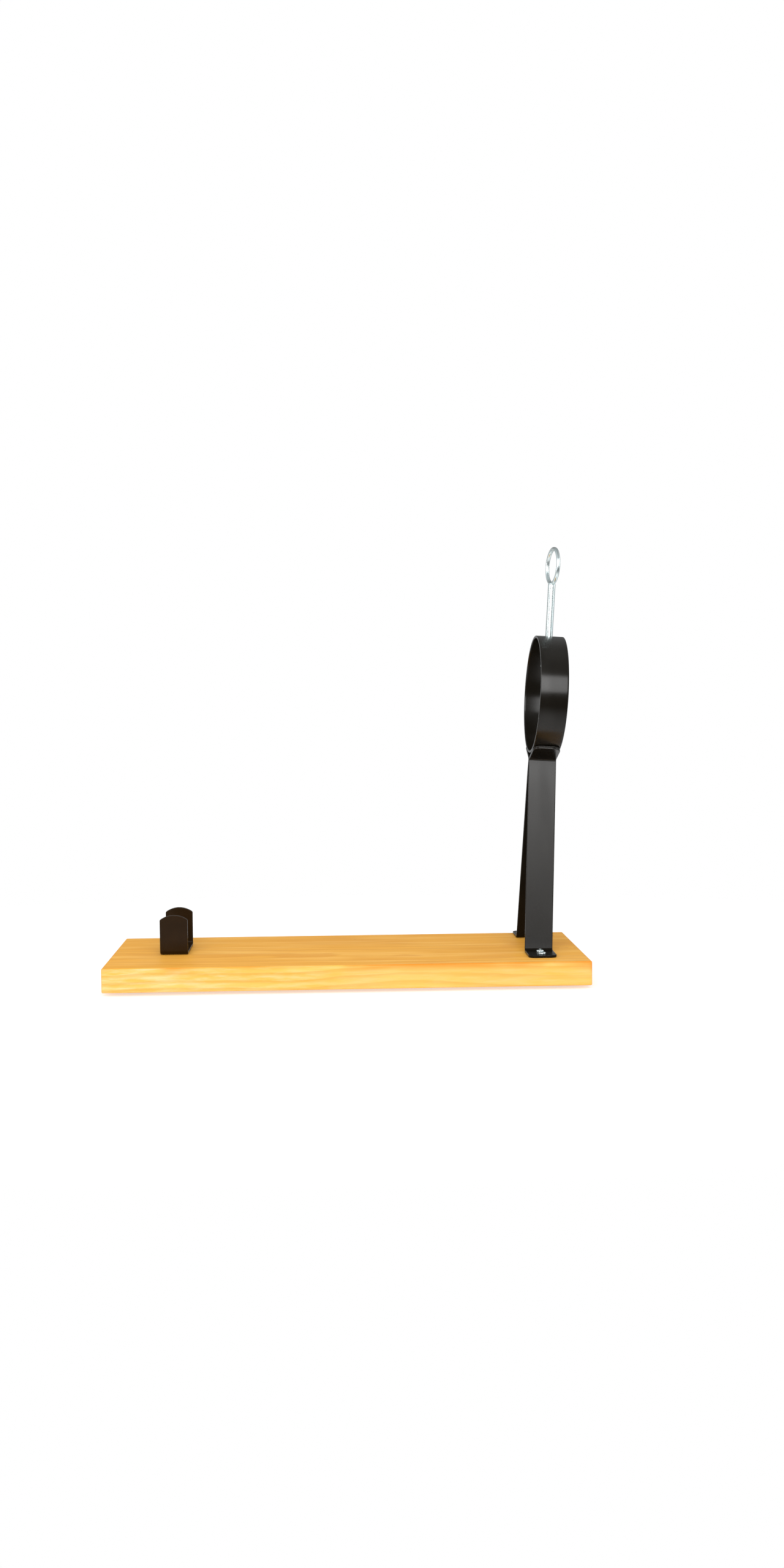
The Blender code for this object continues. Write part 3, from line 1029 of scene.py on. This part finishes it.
@dataclass
class Cradle:
    """The U that holds the thick end of the ham, and its spike."""

    paint: bpy.types.Material
    steel: bpy.types.Material
    bar: Bar
    bend: float = 0.003
    arch: float = 0.024
    spike_radius: float = 0.0035
    spike_point: float = 0.014

    def build(self) -> None:
        """Makes the bent U and the spike."""
        low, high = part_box("cradle_bracket")
        centre = (low + high) / 2
        outside = self.bend + self.bar.thickness
        half = high.y - centre.y
        corners = ((half, high.z), (half, low.z), (-half, low.z), (-half, high.z))
        line = BentLine(corners, (outside, outside), step=0.004)
        ends = (ArchedEnd(self.arch), ArchedEnd(self.arch))

        def stand(across: float, outwards: float, up: float) -> Point:
            """Stands the U across the board."""
            return centre.x + across, centre.y + outwards, up

        mesh = self.bar.plate().mesh("cradle", line.points(), ends, stand)
        add_piece(mesh, self.paint, Body.STAND, Slot.CRADLE_PAINT, ["cradle_bracket"])
        self.add_spike()

    def add_spike(self) -> None:
        """Makes the pointed pin, with its weld round the foot."""
        low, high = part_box("ham_spike")
        tip = high.z - low.z
        shoulder = tip - self.spike_point
        radius = self.spike_radius
        profile = [
            (0.0, tip),
            (0.00018, tip - 0.0001),
            (0.0004, tip - 0.0007),
            (radius * 0.93, shoulder + 0.0006),
            (radius, shoulder - 0.0006),
            (radius, 0.0014),
            *arc((radius + 0.0012, 0.0014), 0.0012, 180.0, 262.0, 5),
            (radius + 0.0012, 0.0),
            (0.0, 0.0),
        ]
        place = Matrix.Translation((*middle("ham_spike").xy, low.z))
        mesh = turned("spike", profile, 40, place)
        add_piece(mesh, self.steel, Body.STAND, Slot.SPIKE_STEEL, ["ham_spike"])


@dataclass
class Post:
    """The two legs and the hock ring, which lean along the clamp's own axis."""

    paint: bpy.types.Material
    bar: Bar
    axis: Matrix
    lean: float
    spread: float = 0.050
    back_shift: float = 0.0034
    foot_reach: float = 0.035
    foot_bend: float = 0.003
    foot_corner: float = 0.006
    gap: float = 0.0003
    waist: float = 0.2035
    waist_gap: float = 0.0009
    twist_start: float = 0.010
    tab_angle: float = math.radians(22.0)
    tab_bend: float = 0.002
    tab_past: float = 0.0110
    tab_corner: float = 0.009
    ring_radius: float = 0.0635
    ring_centre: float = 0.2735
    ring_hole: float = 0.0046
    ring_columns: int = 12
    hole_rings: int = 5
    nut_flats: float = 0.013
    nut_height: float = 0.0065
    nut_bore: float = 0.0043
    nut_chamfer: float = 0.0008
    nut_lead: float = 0.0006
    nut_steps: int = 8

    def leg_line(self) -> BentLine:
        """The outer face of a leg from foot to tab, as (outwards, up) from the post's foot."""
        plate_top = self.gap + self.bar.thickness
        down = Vector((self.spread, 0.0))
        up = Vector((self.bar.thickness + self.waist_gap, self.waist))
        along = (up - down).normalized()
        foot_corner = down + along * (plate_top / along.y)
        radial = Vector((math.sin(self.tab_angle), -math.cos(self.tab_angle)))
        outwards = Vector((math.cos(self.tab_angle), math.sin(self.tab_angle)))
        touch = Vector((0.0, self.ring_centre)) + radial * (self.ring_radius + self.gap + self.bar.thickness)
        normal = Vector((along.y, -along.x))
        tab_corner = touch - outwards * ((touch - down).dot(normal) / outwards.dot(normal))
        tab_end = touch + outwards * self.tab_past
        foot_end = (self.spread + self.foot_reach, plate_top)
        corners = (tuple(tab_end), tuple(tab_corner), tuple(foot_corner), foot_end)
        return BentLine(corners, (self.tab_bend, self.foot_bend))

    def leaning(self, side: float, shift: float) -> Callable[[float, float, float], Vector]:
        """Where a leg's points go.

        Args:
            side: -1 for the front leg, 1 for the back one.
            shift: How far along the board the leg's foot stands from the post's own foot.

        Returns:
            A function from (across, outwards, up) to the frame. The bar is level at its foot and square to
            the lean from the waist up.
        """
        foot = self.axis.translation

        def place(across: float, outwards: float, up: float) -> Vector:
            """One point of the leg."""
            share = min(1.0, max(0.0, (up - self.twist_start) / (self.waist - 2 * self.twist_start)))
            eased = share * share * (3.0 - 2.0 * share)
            turn = self.lean * eased
            along = across * math.cos(turn) + up * math.sin(self.lean) + shift * (1.0 - share)
            height = up * math.cos(self.lean) - across * math.sin(turn)
            return foot + Vector((along, side * outwards, height))

        return place

    def add_legs(self) -> None:
        """Makes both legs."""
        line = self.leg_line().points()
        ends = (RoundedEnd(self.tab_corner), RoundedEnd(self.foot_corner, 6))
        for name, side, shift in (("front_leg", -1.0, 0.0), ("back_leg", 1.0, self.back_shift)):
            mesh = self.bar.plate().mesh(name + "_bar", line, ends, self.leaning(side, shift))
            add_piece(mesh, self.paint, Body.STAND, Slot.POST_PAINT, [name])

    def ring_sheet(self) -> bmesh.types.BMesh:
        """The ring's outer face as an open sheet with its hole, wrapped round the ring's circle."""
        shape = bmesh.new()
        half = self.bar.width / 2
        length = 2 * math.pi * self.ring_radius
        count = self.ring_columns
        sides = [half * (2 * i / count - 1) for i in range(count + 1)]

        def wrapped(u: float, v: float) -> bmesh.types.BMVert:
            """A vertex at an arc length from the crown and a place across the bar."""
            turn = u / self.ring_radius
            spot = Vector((v, self.ring_radius * math.sin(turn), self.ring_radius * math.cos(turn)))
            return shape.verts.new(spot)

        square = [(u, -half) for u in sides[:-1]] + [(half, v) for v in sides[:-1]]
        square += [(-u, half) for u in sides[:-1]] + [(-half, -v) for v in sides[:-1]]
        rings = []
        for i in range(self.hole_rings + 1):
            share = (i / self.hole_rings) ** 1.3
            hoop = []
            for u, v in square:
                scale = self.ring_hole / math.hypot(u, v)
                hoop.append(wrapped(u * (scale + (1 - scale) * share), v * (scale + (1 - scale) * share)))
            rings.append(hoop)
        for inner, outer in zip(rings, rings[1:]):
            for i in range(len(inner)):
                j = (i + 1) % len(inner)
                shape.faces.new((inner[i], outer[i], outer[j], inner[j]))
        rows = []
        for i in range(RING_STEPS + 1):
            u = half + (length - 2 * half) * i / RING_STEPS
            rows.append([wrapped(u, v) for v in sides])
        for low, high in zip(rows, rows[1:]):
            for i in range(count):
                shape.faces.new((low[i], high[i], high[i + 1], low[i + 1]))
        bmesh.ops.remove_doubles(shape, verts=shape.verts, dist=MERGE)
        bmesh.ops.recalc_face_normals(shape, faces=shape.faces)
        if sum(face.normal.dot(face.calc_center_median()) for face in shape.faces) < 0:
            bmesh.ops.reverse_faces(shape, faces=shape.faces)
        return shape

    def add_ring(self) -> None:
        """Gives the ring's sheet its thickness and its rounded edges."""
        sheet = self.ring_sheet()
        mesh = bpy.data.meshes.new("ring_sheet")
        sheet.transform(self.axis @ Matrix.Translation((0.0, 0.0, self.ring_centre)))
        sheet.to_mesh(mesh)
        sheet.free()
        host = linked("ring_sheet", mesh)
        wall = host.modifiers.new("wall", "SOLIDIFY")
        wall.thickness = self.bar.thickness
        wall.offset = -1.0
        wall.use_even_offset = True
        rounding = host.modifiers.new("rounding", "BEVEL")
        rounding.width = self.bar.edge
        rounding.segments = 3
        rounding.limit_method = "ANGLE"
        rounding.angle_limit = math.radians(50.0)
        shape = bmesh.new()
        shape.from_mesh(plain_mesh(host, "ring_wall"))
        add_piece(mesh_of(shape, "hock_ring_bar"), self.paint, Body.STAND, Slot.POST_PAINT, ["hock_ring"])

    def add_nut(self) -> None:
        """Makes the hexagon nut under the crown, with chamfered corners and a bore."""
        low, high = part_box("clamp_nut")
        flats = self.nut_flats / 2
        corner = flats / math.cos(math.pi / 6)
        centre = self.axis.inverted() @ ((low + high) / 2)
        top = centre.z + self.nut_height / 2
        bottom = centre.z - self.nut_height / 2
        shape = bmesh.new()
        cut = (corner - flats) * 0.6
        rim, lead, wide = self.nut_chamfer, self.nut_lead, self.nut_bore + 0.0005
        outer = ((top, cut), (top - rim, 0.0), (bottom + rim, 0.0), (bottom, cut))
        inner = ((bottom, wide), (bottom + lead, self.nut_bore), (top - lead, self.nut_bore), (top, wide))
        rings = [self.loop(shape, corner - drop, height, flats) for height, drop in outer]
        rings += [self.loop(shape, radius, height) for height, radius in inner]
        for upper, lower in zip(rings, rings[1:] + rings[:1]):
            for i in range(len(upper)):
                j = (i + 1) % len(upper)
                shape.faces.new((upper[i], upper[j], lower[j], lower[i]))
        add_piece(mesh_of(shape, "crown_nut"), self.paint, Body.STAND, Slot.POST_PAINT, ["clamp_nut"])

    def loop(
        self, shape: bmesh.types.BMesh, reach: float, height: float, flats: Optional[float] = None
    ) -> list[bmesh.types.BMVert]:
        """A circle round the axis, cut down to a hexagon's flats where those are given."""
        made = []
        for i in range(6 * self.nut_steps):
            turn = 2 * math.pi * i / (6 * self.nut_steps)
            radius = reach
            if flats is not None:
                off = (turn + math.pi / 6) % (math.pi / 3) - math.pi / 6
                radius = min(reach, flats / math.cos(off))
            spot = Vector((radius * math.cos(turn), radius * math.sin(turn), height))
            made.append(shape.verts.new(self.axis @ spot))
        return made

    def add_welds(self) -> None:
        """Lays a bead round the end of each tab, on the ring."""
        tip, ahead = self.leg_line().points()[0]
        inwards = Vector((ahead.y, -ahead.x))
        rows = RoundedEnd(self.tab_corner).rows(self.bar.width / 2)[3:]
        for name, side, shift in (("front_weld", -1.0, 0.0), ("back_weld", 1.0, self.back_shift)):
            place = self.leaning(side, shift)
            seam = []
            for row, end in [(row, 1.0) for row in rows] + [(row, -1.0) for row in reversed(rows)]:
                spot = tip + ahead * row.back + inwards * self.bar.thickness
                seam.append(place(end * row.half, spot.x, spot.y))
            mesh = WeldBead(0.0008, 0.0007).mesh(name, seam, self.paint)
            add_piece(mesh, self.paint, Body.STAND, Slot.POST_PAINT, [])

    def build(self) -> None:
        """Makes the post."""
        self.add_legs()
        self.add_welds()
        self.add_ring()
        self.add_nut()


@dataclass
class Clamp:
    """The zinc-plated screw with its eye, and the swivel foot that it turns in."""

    zinc: bpy.types.Material
    axis: Matrix
    foot_height: float
    foot_length: float = 0.008
    foot_radius: float = 0.0072
    boss_radius: float = 0.0056
    rim_height: float = 0.003
    dish: float = 0.0008
    socket_radius: float = 0.0036
    socket_floor: float = 0.0022
    socket_roof: float = 0.0052
    socket_mouth: float = 0.0029
    collar_radius: float = 0.0032
    neck_radius: float = 0.0025
    play: float = 0.0004
    shaft_radius: float = 0.0040
    shaft_top: float = 0.3933
    plain_top: float = 0.003
    pitch: float = 0.00125
    thread_depth: float = 0.00022
    thread_rows: int = 14
    eye_centre: float = 0.4124
    eye_radius: float = 0.0207
    wire_radius: float = 0.0021
    eye_turn: float = math.radians(9.6)

    def at_foot(self) -> Matrix:
        """The clamp's axis, from the swivel foot's underside up."""
        return self.axis @ Matrix.Translation((0.0, 0.0, self.foot_height))

    def add_foot(self) -> None:
        """Makes the swivel foot, with rounded edges, a dished sole and the socket for the screw's collar."""
        soft = 0.0005
        length = self.foot_length
        profile = [
            (0.0, self.dish),
            (self.foot_radius - 0.0018, 0.0002),
            (self.foot_radius - 0.0012, 0.0),
            *arc((self.foot_radius - soft, soft), soft, -90.0, 0.0, 4),
            *arc((self.foot_radius - soft, self.rim_height - soft), soft, 0.0, 70.0, 4),
            (self.boss_radius + 0.0004, self.rim_height + 0.0006),
            (self.boss_radius, self.rim_height + 0.0011),
            *arc((self.boss_radius - soft, length - soft), soft, 0.0, 90.0, 4),
            (self.socket_mouth + 0.0003, length),
            (self.socket_mouth, length - 0.0003),
            (self.socket_mouth, self.socket_roof),
            (self.socket_radius, self.socket_roof),
            (self.socket_radius, self.socket_floor),
            (0.0, self.socket_floor),
        ]
        mesh = turned("swivel_foot", profile, 64, self.at_foot())
        add_piece(mesh, self.zinc, Body.FOOT, Slot.CLAMP_ZINC, ["clamp_foot"])

    def thread_tree(self) -> GeometryTree:
        """A tree that makes a threaded tube from a grid, by a rule for its radius."""
        floats = ("Radius", "Depth", "Pitch", "Length", "Fade")
        kinds = {label: "NodeSocketFloat" for label in floats}
        kinds |= {"Rows": "NodeSocketInt", "Columns": "NodeSocketInt"}
        tree = GeometryTree("screw_thread", kinds)
        radius, depth, pitch, length, fade = (tree.given(label) for label in floats)
        sizes = {"Size X": 1.0, "Size Y": 1.0}
        counts = {"Vertices X": tree.given("Rows"), "Vertices Y": tree.given("Columns")}
        grid = tree.node("GeometryNodeMeshGrid", {}, sizes | counts)
        spot = tree.parts(tree.node("GeometryNodeInputPosition"))
        height = (spot.output("X") + 0.5) * length
        share = spot.output("Y") + 0.5
        angle = share * (2 * math.pi)
        groove = (abs((height / pitch - share).fraction() - 0.5) * 2.0).smooth(0.70, 1.0)
        ends = (height / fade).smooth(0.0, 1.0) * ((length - height) / fade).smooth(0.0, 1.0)
        reach = radius - depth * groove * ends
        x, y = (reach * angle.maths(wave, angle) for wave in ("COSINE", "SINE"))
        place = tree.node("ShaderNodeCombineXYZ", {}, {0: x, 1: y, 2: height})
        moved = tree.node("GeometryNodeSetPosition", {}, {"Geometry": grid, "Position": place})
        joined = tree.node("GeometryNodeMergeByDistance", {}, {"Geometry": moved, "Distance": MERGE})
        return tree.end(joined)

    def add_screw(self) -> None:
        """Makes the threaded shaft, with its neck and collar below and its plain top under the eye."""
        start = self.foot_length + self.play + 0.0006
        top = self.shaft_top - self.foot_height
        length = top - self.plain_top - start
        values = {
            "Material": self.zinc,
            "Radius": self.shaft_radius,
            "Depth": self.thread_depth,
            "Pitch": self.pitch,
            "Length": length,
            "Fade": 2 * self.pitch,
            "Rows": round(length / self.pitch * self.thread_rows),
            "Columns": THREAD_COLUMNS,
        }
        tube = self.thread_tree().grow("thread", bpy.data.meshes.new("seed"), values)
        shape = bmesh.new()
        shape.from_mesh(tube)
        bmesh.ops.translate(shape, verts=shape.verts, vec=(0.0, 0.0, start))
        lower = [
            (self.shaft_radius, start - 0.0002),
            (self.shaft_radius - 0.0004, start - 0.0006),
            (self.neck_radius, start - 0.0006),
            (self.neck_radius, self.socket_roof - self.play),
            (self.collar_radius, self.socket_roof - self.play),
            (self.collar_radius, self.socket_floor + self.play),
        ]
        upper = [
            (self.shaft_radius, top - 0.0006),
            (self.shaft_radius - 0.0002, top - 0.0002),
            (self.shaft_radius - 0.0006, top),
        ]
        self.extend(shape, start, lower)
        self.extend(shape, start + length, upper)
        shape.transform(self.at_foot())
        put_in_order(shape)
        mesh = mesh_of(shape, "eye_screw_shaft")
        add_piece(mesh, self.zinc, Body.EYE_SCREW, Slot.CLAMP_ZINC, ["clamp_screw"])

    @staticmethod
    def extend(shape: bmesh.types.BMesh, level: float, profile: Sequence[Flat]) -> None:
        """Carries an open round edge on along a profile, and closes it.

        Args:
            shape: The tube.
            level: The height of the open edge.
            profile: (radius, height) points from the edge on.
        """
        rim = [edge for edge in shape.edges if edge.is_boundary]
        edges = [edge for edge in rim if abs(edge.verts[0].co.z - level) < MERGE * 10]
        for radius, height in profile:
            made = bmesh.ops.extrude_edge_only(shape, edges=edges)["geom"]
            edges = [item for item in made if isinstance(item, bmesh.types.BMEdge)]
            for vert in {v for edge in edges for v in edge.verts}:
                flat = vert.co.xy.normalized() * radius
                vert.co = (flat.x, flat.y, height)
        bmesh.ops.edgeloop_fill(shape, edges=edges)

    def add_eye(self) -> None:
        """Makes the ring of wire and the weld that joins it to the screw."""
        place = (
            self.axis
            @ Matrix.Translation((0.0, 0.0, self.eye_centre))
            @ Matrix.Rotation(self.eye_turn, 4, "Z")
            @ Matrix.Rotation(math.pi / 2, 4, "Y")
        )
        middle_radius = self.eye_radius - self.wire_radius
        wire = arc((middle_radius, 0.0), self.wire_radius, 0.0, 360.0, 24)[:-1]
        mesh = turned("screw_eye_ring", wire, 112, place, closed=True)
        add_piece(mesh, self.zinc, Body.EYE_SCREW, Slot.CLAMP_ZINC, ["screw_eye"])
        seam = [Vector((x, y, self.shaft_top)) for x, y in arc((0.0, 0.0), 0.0025, 0.0, 360.0, 12)[:-1]]
        bead = WeldBead(0.0013).mesh("eye_weld", [self.axis @ spot for spot in seam], self.zinc)
        add_piece(bead, self.zinc, Body.EYE_SCREW, Slot.CLAMP_ZINC, [])

    def build(self) -> None:
        """Makes the clamp."""
        self.add_foot()
        self.add_screw()
        self.add_eye()


@dataclass(frozen=True)
class ScrewSize:
    """A screw's head, and its shank from under the head to the point."""

    head_radius: float
    head_height: float
    shank: float
    length: float


@dataclass
class Fasteners:
    """The wood screws and, under the board, the rubber feet with their screws."""

    zinc: bpy.types.Material
    rubber: bpy.types.Material
    wood_screw: ScrewSize = ScrewSize(0.0040, 0.0024, 0.0019, 0.018)
    pad_screw: ScrewSize = ScrewSize(0.0032, 0.0013, 0.0015, 0.010)
    pad_sole: float = 0.0082
    pad_bore: float = 0.0018
    pad_seat: float = 0.0037
    pad_seat_depth: float = 0.0022
    pad_rounding: float = 0.0007
    pad_chamfer: float = 0.0003

    def screw_mesh(self, size: ScrewSize, flip: bool) -> bpy.types.Mesh:
        """A pan-head screw with a cross recess.

        Args:
            size: Its size.
            flip: Whether the screw points up.

        Returns:
            The mesh, with the underside of its head at the origin.
        """
        head_radius, head_height = size.head_radius, size.head_height
        brim = head_height * 0.32
        profile = [
            (0.0, head_height),
            (head_radius * 0.30, head_height * 0.985),
            (head_radius * 0.55, head_height * 0.92),
            (head_radius * 0.76, head_height * 0.78),
            (head_radius * 0.91, head_height * 0.56),
            (head_radius * 0.985, brim),
            (head_radius, brim * 0.6),
            (head_radius * 0.98, 0.0),
            (size.shank, 0.0),
            (size.shank, SCREW_POINT - size.length),
            (0.0, -size.length),
        ]
        turn = Matrix.Rotation(math.pi, 4, "X") if flip else Matrix.Identity(4)
        host = linked("screw", turned("screw", profile, SCREW_SEGMENTS, turn))
        cutters = []
        for angle in (0.0, math.pi / 2):
            blade = self.blade(head_radius, head_height)
            blade.transform(turn @ Matrix.Rotation(angle, 4, "Z"))
            cutter = linked("blade", mesh_of(blade, "blade"))
            recess = host.modifiers.new("recess", "BOOLEAN")
            recess.object = cutter
            cutters.append(cutter)
        mesh = plain_mesh(host, "screw")
        for cutter in cutters:
            bpy.data.objects.remove(cutter)
        shape = bmesh.new()
        shape.from_mesh(mesh)
        return mesh_of(shape, "screw")

    @staticmethod
    def blade(head_radius: float, head_height: float) -> bmesh.types.BMesh:
        """One bar of the cross recess, narrower towards its bottom."""
        blade = bmesh.new()
        bmesh.ops.create_cube(blade, size=1.0)
        for vert in blade.verts:
            deep = vert.co.z < 0
            long = head_radius * (0.34 if deep else 0.60)
            wide = head_radius * (0.09 if deep else 0.12)
            level = head_height * (0.32 if deep else 1.3)
            vert.co = (math.copysign(long, vert.co.x), math.copysign(wide, vert.co.y), level)
        return blade

    def add_wood_screws(self) -> None:
        """Puts the screws of the cradle and the feet in place, each turned its own way."""
        nodes = ["cradle_screw_front", "cradle_screw_back"]
        nodes += [f"{leg}_foot_screw_{place}" for leg in ("front", "back") for place in ("inner", "outer")]
        head_height = self.wood_screw.head_height
        spots = [Vector((*middle(node).xy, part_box(node)[1].z - head_height)) for node in nodes]
        screw = self.screw_mesh(self.wood_screw, False)
        mesh = Copies(math.pi).make("wood_screws", screw, spots, self.zinc)
        add_piece(mesh, self.zinc, Body.STAND, Slot.SCREW_ZINC, nodes)

    def add_feet(self) -> None:
        """Puts the four rubber pads and their screws under the board."""
        corners = [f"{side}_{end}" for side in ("front", "back") for end in ("left", "right")]
        pads = [f"foot_pad_{corner}" for corner in corners]
        low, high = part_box(pads[0])
        soft, chamfer = self.pad_rounding, self.pad_chamfer
        top_radius, height = (high.x - low.x) / 2, high.z - low.z
        profile = [
            (self.pad_bore, height),
            (top_radius - chamfer, height),
            (top_radius, height - chamfer),
            *arc((self.pad_sole - soft, soft), soft, 5.0, -90.0, 4),
            (self.pad_seat + 0.0004, 0.0),
            (self.pad_seat, 0.0004),
            (self.pad_seat, self.pad_seat_depth),
            (self.pad_bore, self.pad_seat_depth),
        ]
        pad = turned("pad", profile, PAD_SEGMENTS, Matrix.Identity(4), closed=True)
        spots = [Vector((*middle(node).xy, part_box(node)[0].z)) for node in pads]
        mesh = Copies().make("rubber_feet", pad, spots, self.rubber)
        add_piece(mesh, self.rubber, Body.STAND, Slot.RUBBER, pads)
        screws = [f"pad_screw_{corner}" for corner in corners]
        head_height = self.pad_screw.head_height
        spots = [Vector((*middle(node).xy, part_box(node)[0].z + head_height)) for node in screws]
        screw = self.screw_mesh(self.pad_screw, True)
        mesh = Copies(math.pi).make("pad_screws", screw, spots, self.zinc)
        add_piece(mesh, self.zinc, Body.STAND, Slot.SCREW_ZINC, screws)

    def build(self) -> None:
        """Makes every fastener."""
        self.add_wood_screws()
        self.add_feet()


# ---- Studio ----


@dataclass
class SoftLight:
    """A soft box: an area light that points at a target and that the camera doesn't see."""

    name: str
    place: Point
    target: Point
    size: tuple[float, float]
    power: float
    mirrored: bool = True
    colour: Colour = (1.0, 1.0, 1.0)

    def build(self) -> None:
        """Adds the light."""
        light = bpy.data.lights.new(self.name, "AREA")
        light.shape = "RECTANGLE"
        light.size, light.size_y = self.size
        light.energy = self.power
        light.color = self.colour
        lamp = linked(self.name, light)
        lamp.location = self.place
        ahead = Vector(self.target) - Vector(self.place)
        lamp.rotation_euler = ahead.to_track_quat("-Z", "Y").to_euler()
        lamp.visible_camera = False
        lamp.visible_glossy = self.mirrored


@dataclass
class Studio:
    """The floor, the light and the camera."""

    camera_place: Point = (-0.0205, -1.6105, 0.2986)
    yaw: float = 0.0439
    pitch: float = 0.0564
    roll: float = -0.0082
    lens: float = 34.42
    floor_reach: float = 4.0
    floor_clear: tuple[float, float] = (0.42, 1.15)
    floor_glow: float = 0.50
    horizon: float = 0.07
    zenith: float = 0.40
    sides: float = 0.42
    back: float = 0.45

    def add_camera(self) -> None:
        """Adds the camera, turned by its yaw, then its pitch, then its roll."""
        data = bpy.data.cameras.new("camera")
        data.lens = self.lens
        camera = linked("camera", data)
        ahead = Vector((math.sin(self.yaw), math.cos(self.yaw), 0.0))
        right = Vector((math.cos(self.yaw), -math.sin(self.yaw), 0.0))
        up = Vector((0.0, 0.0, 1.0))
        down_ahead = ahead * math.cos(self.pitch) - up * math.sin(self.pitch)
        top = up * math.cos(self.pitch) + ahead * math.sin(self.pitch)
        side = right * math.cos(self.roll) + top * math.sin(self.roll)
        above = top * math.cos(self.roll) - right * math.sin(self.roll)
        turn = Matrix((side, above, -down_ahead)).transposed()
        camera.matrix_world = Matrix.Translation(self.camera_place) @ turn.to_4x4()
        bpy.context.scene.camera = camera

    def add_world(self) -> None:
        """A white backdrop for the camera, and a softer sky that is brighter overhead for everything else."""
        world = bpy.data.worlds.new("studio")
        world.use_nodes = True
        bpy.context.scene.world = world
        tree = Tree(world.node_tree)
        direction = tree.node("ShaderNodeTexCoord", output="Generated")
        ahead = tree.parts(direction)
        rise = ahead.output("Z").smooth(0.0, 0.9) * (self.zenith - self.horizon)
        low = 1.0 - ahead.output("Z").smooth(0.05, 0.40)
        behind = ahead.output("Y").smooth(0.45, 0.95) * low * self.back
        strength = self.horizon + rise + behind + abs(ahead).smooth(0.35, 0.85) * self.sides
        sky = tree.node("ShaderNodeBackground", {}, {"Color": (0.97, 0.99, 1.0, 1.0), "Strength": strength})
        backdrop = tree.node("ShaderNodeBackground", {}, {"Color": (1.0, 1.0, 1.0, 1.0), "Strength": 1.0})
        seen = tree.node("ShaderNodeLightPath", output="Is Camera Ray")
        mixed = tree.node("ShaderNodeMixShader", {}, {0: seen, 1: sky, 2: backdrop})
        tree.node("ShaderNodeOutputWorld", {}, {"Surface": mixed})

    def add_floor(self) -> None:
        """A pale floor that fades into the backdrop away from the stand."""
        shape = bmesh.new()
        bmesh.ops.create_grid(shape, x_segments=1, y_segments=1, size=self.floor_reach)
        mesh = bpy.data.meshes.new("floor")
        shape.to_mesh(mesh)
        shape.free()
        floor = linked("floor", mesh)
        tree = MaterialTree("pale_floor")
        flat = {"Vector": tree.place, "Scale": (1.0, 1.6, 1.0)}
        across = tree.node("ShaderNodeMapping", {}, flat)
        away = tree.node("ShaderNodeVectorMath", {"operation": "LENGTH"}, {0: across}, output="Value")
        inputs = {"Base Color": (0.60, 0.60, 0.60, 1.0), "Roughness": 0.8, "Specular IOR Level": 0.1}
        inputs |= {"Emission Color": (1.0, 1.0, 1.0, 1.0), "Emission Strength": self.floor_glow}
        ground = tree.node("ShaderNodeBsdfPrincipled", {}, inputs)
        clear = tree.node("ShaderNodeBsdfTransparent")
        below = tree.node("ShaderNodeNewGeometry", output="Backfacing")
        hidden = below.maths("MAXIMUM", below, away.smooth(*self.floor_clear))
        mixed = tree.node("ShaderNodeMixShader", {}, {0: hidden, 1: ground, 2: clear})
        tree.node("ShaderNodeOutputMaterial", {}, {"Surface": mixed})
        mesh.materials.append(tree.material)

    def add_lights(self) -> None:
        """A low wide soft box in front, one overhead, and weaker ones at the sides and the back."""
        middle_place = (0.05, 0.0, 0.18)
        lights = (
            SoftLight("front_box", (-0.10, -1.75, 0.96), middle_place, (1.9, 1.08), 40.0),
            SoftLight("top_box", (0.0, -0.10, 1.70), (0.0, 0.0, 0.0), (1.3, 1.0), 5.5, mirrored=False),
            SoftLight("left_box", (-1.7, -0.4, 0.75), middle_place, (0.6, 1.2), 8.0),
            SoftLight("right_box", (1.7, -0.4, 0.75), middle_place, (0.5, 1.1), 4.0),
            SoftLight("back_box", (0.1, 1.9, 1.05), middle_place, (1.7, 0.6), 6.0, mirrored=False),
        )
        for light in lights:
            light.build()

    def build(self) -> None:
        """Sets the studio up."""
        bpy.context.scene.view_settings.view_transform = "Standard"
        self.add_camera()
        self.add_world()
        self.add_floor()
        self.add_lights()


def post_axis(frame: dict[str, Any]) -> tuple[Matrix, float, float]:
    """The line that the post and the clamp share, from the clamp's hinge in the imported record.


    Returns:
        The axis's matrix on the board's top, its lean in radians and the height of the clamp's foot along it.
    """
    turn = next(joint for joint in frame["joints"] if joint["name"] == "screw_turn")
    up = -Vector(turn["axis"]).normalized()
    foot = Vector(turn["pos_m"])
    board_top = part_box("base_board")[1].z
    height = (foot.z - board_top) / up.z
    lean = math.atan2(up.x, up.z)
    axis = Matrix.Translation(foot - up * height) @ Matrix.Rotation(lean, 4, "Y")
    return axis, lean, height


def main() -> None:
    """Builds the stand's looks, sub-assembly by sub-assembly, and the studio round it."""
    logging.basicConfig(level=logging.INFO, format="%(name)s: %(message)s")
    for obj in list(bpy.data.objects):
        bpy.data.objects.remove(obj)
    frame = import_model()
    axis, lean, foot_height = post_axis(frame)
    bar = Bar()
    zinc = BrightZinc().material()
    Board(VarnishedPine().material()).build()
    brown = SatinPaint("cradle_paint", (0.0165, 0.0085, 0.0030)).material()
    Cradle(brown, TurnedSteel().material(), bar).build()
    Post(SatinPaint("post_paint").material(), bar, axis, lean).build()
    Clamp(zinc, axis, foot_height).build()
    Fasteners(BrightZinc("screw_zinc", roughness=0.24).material(), MouldedRubber().material()).build()
    Studio().build()


if __name__ == "__main__":
    main()
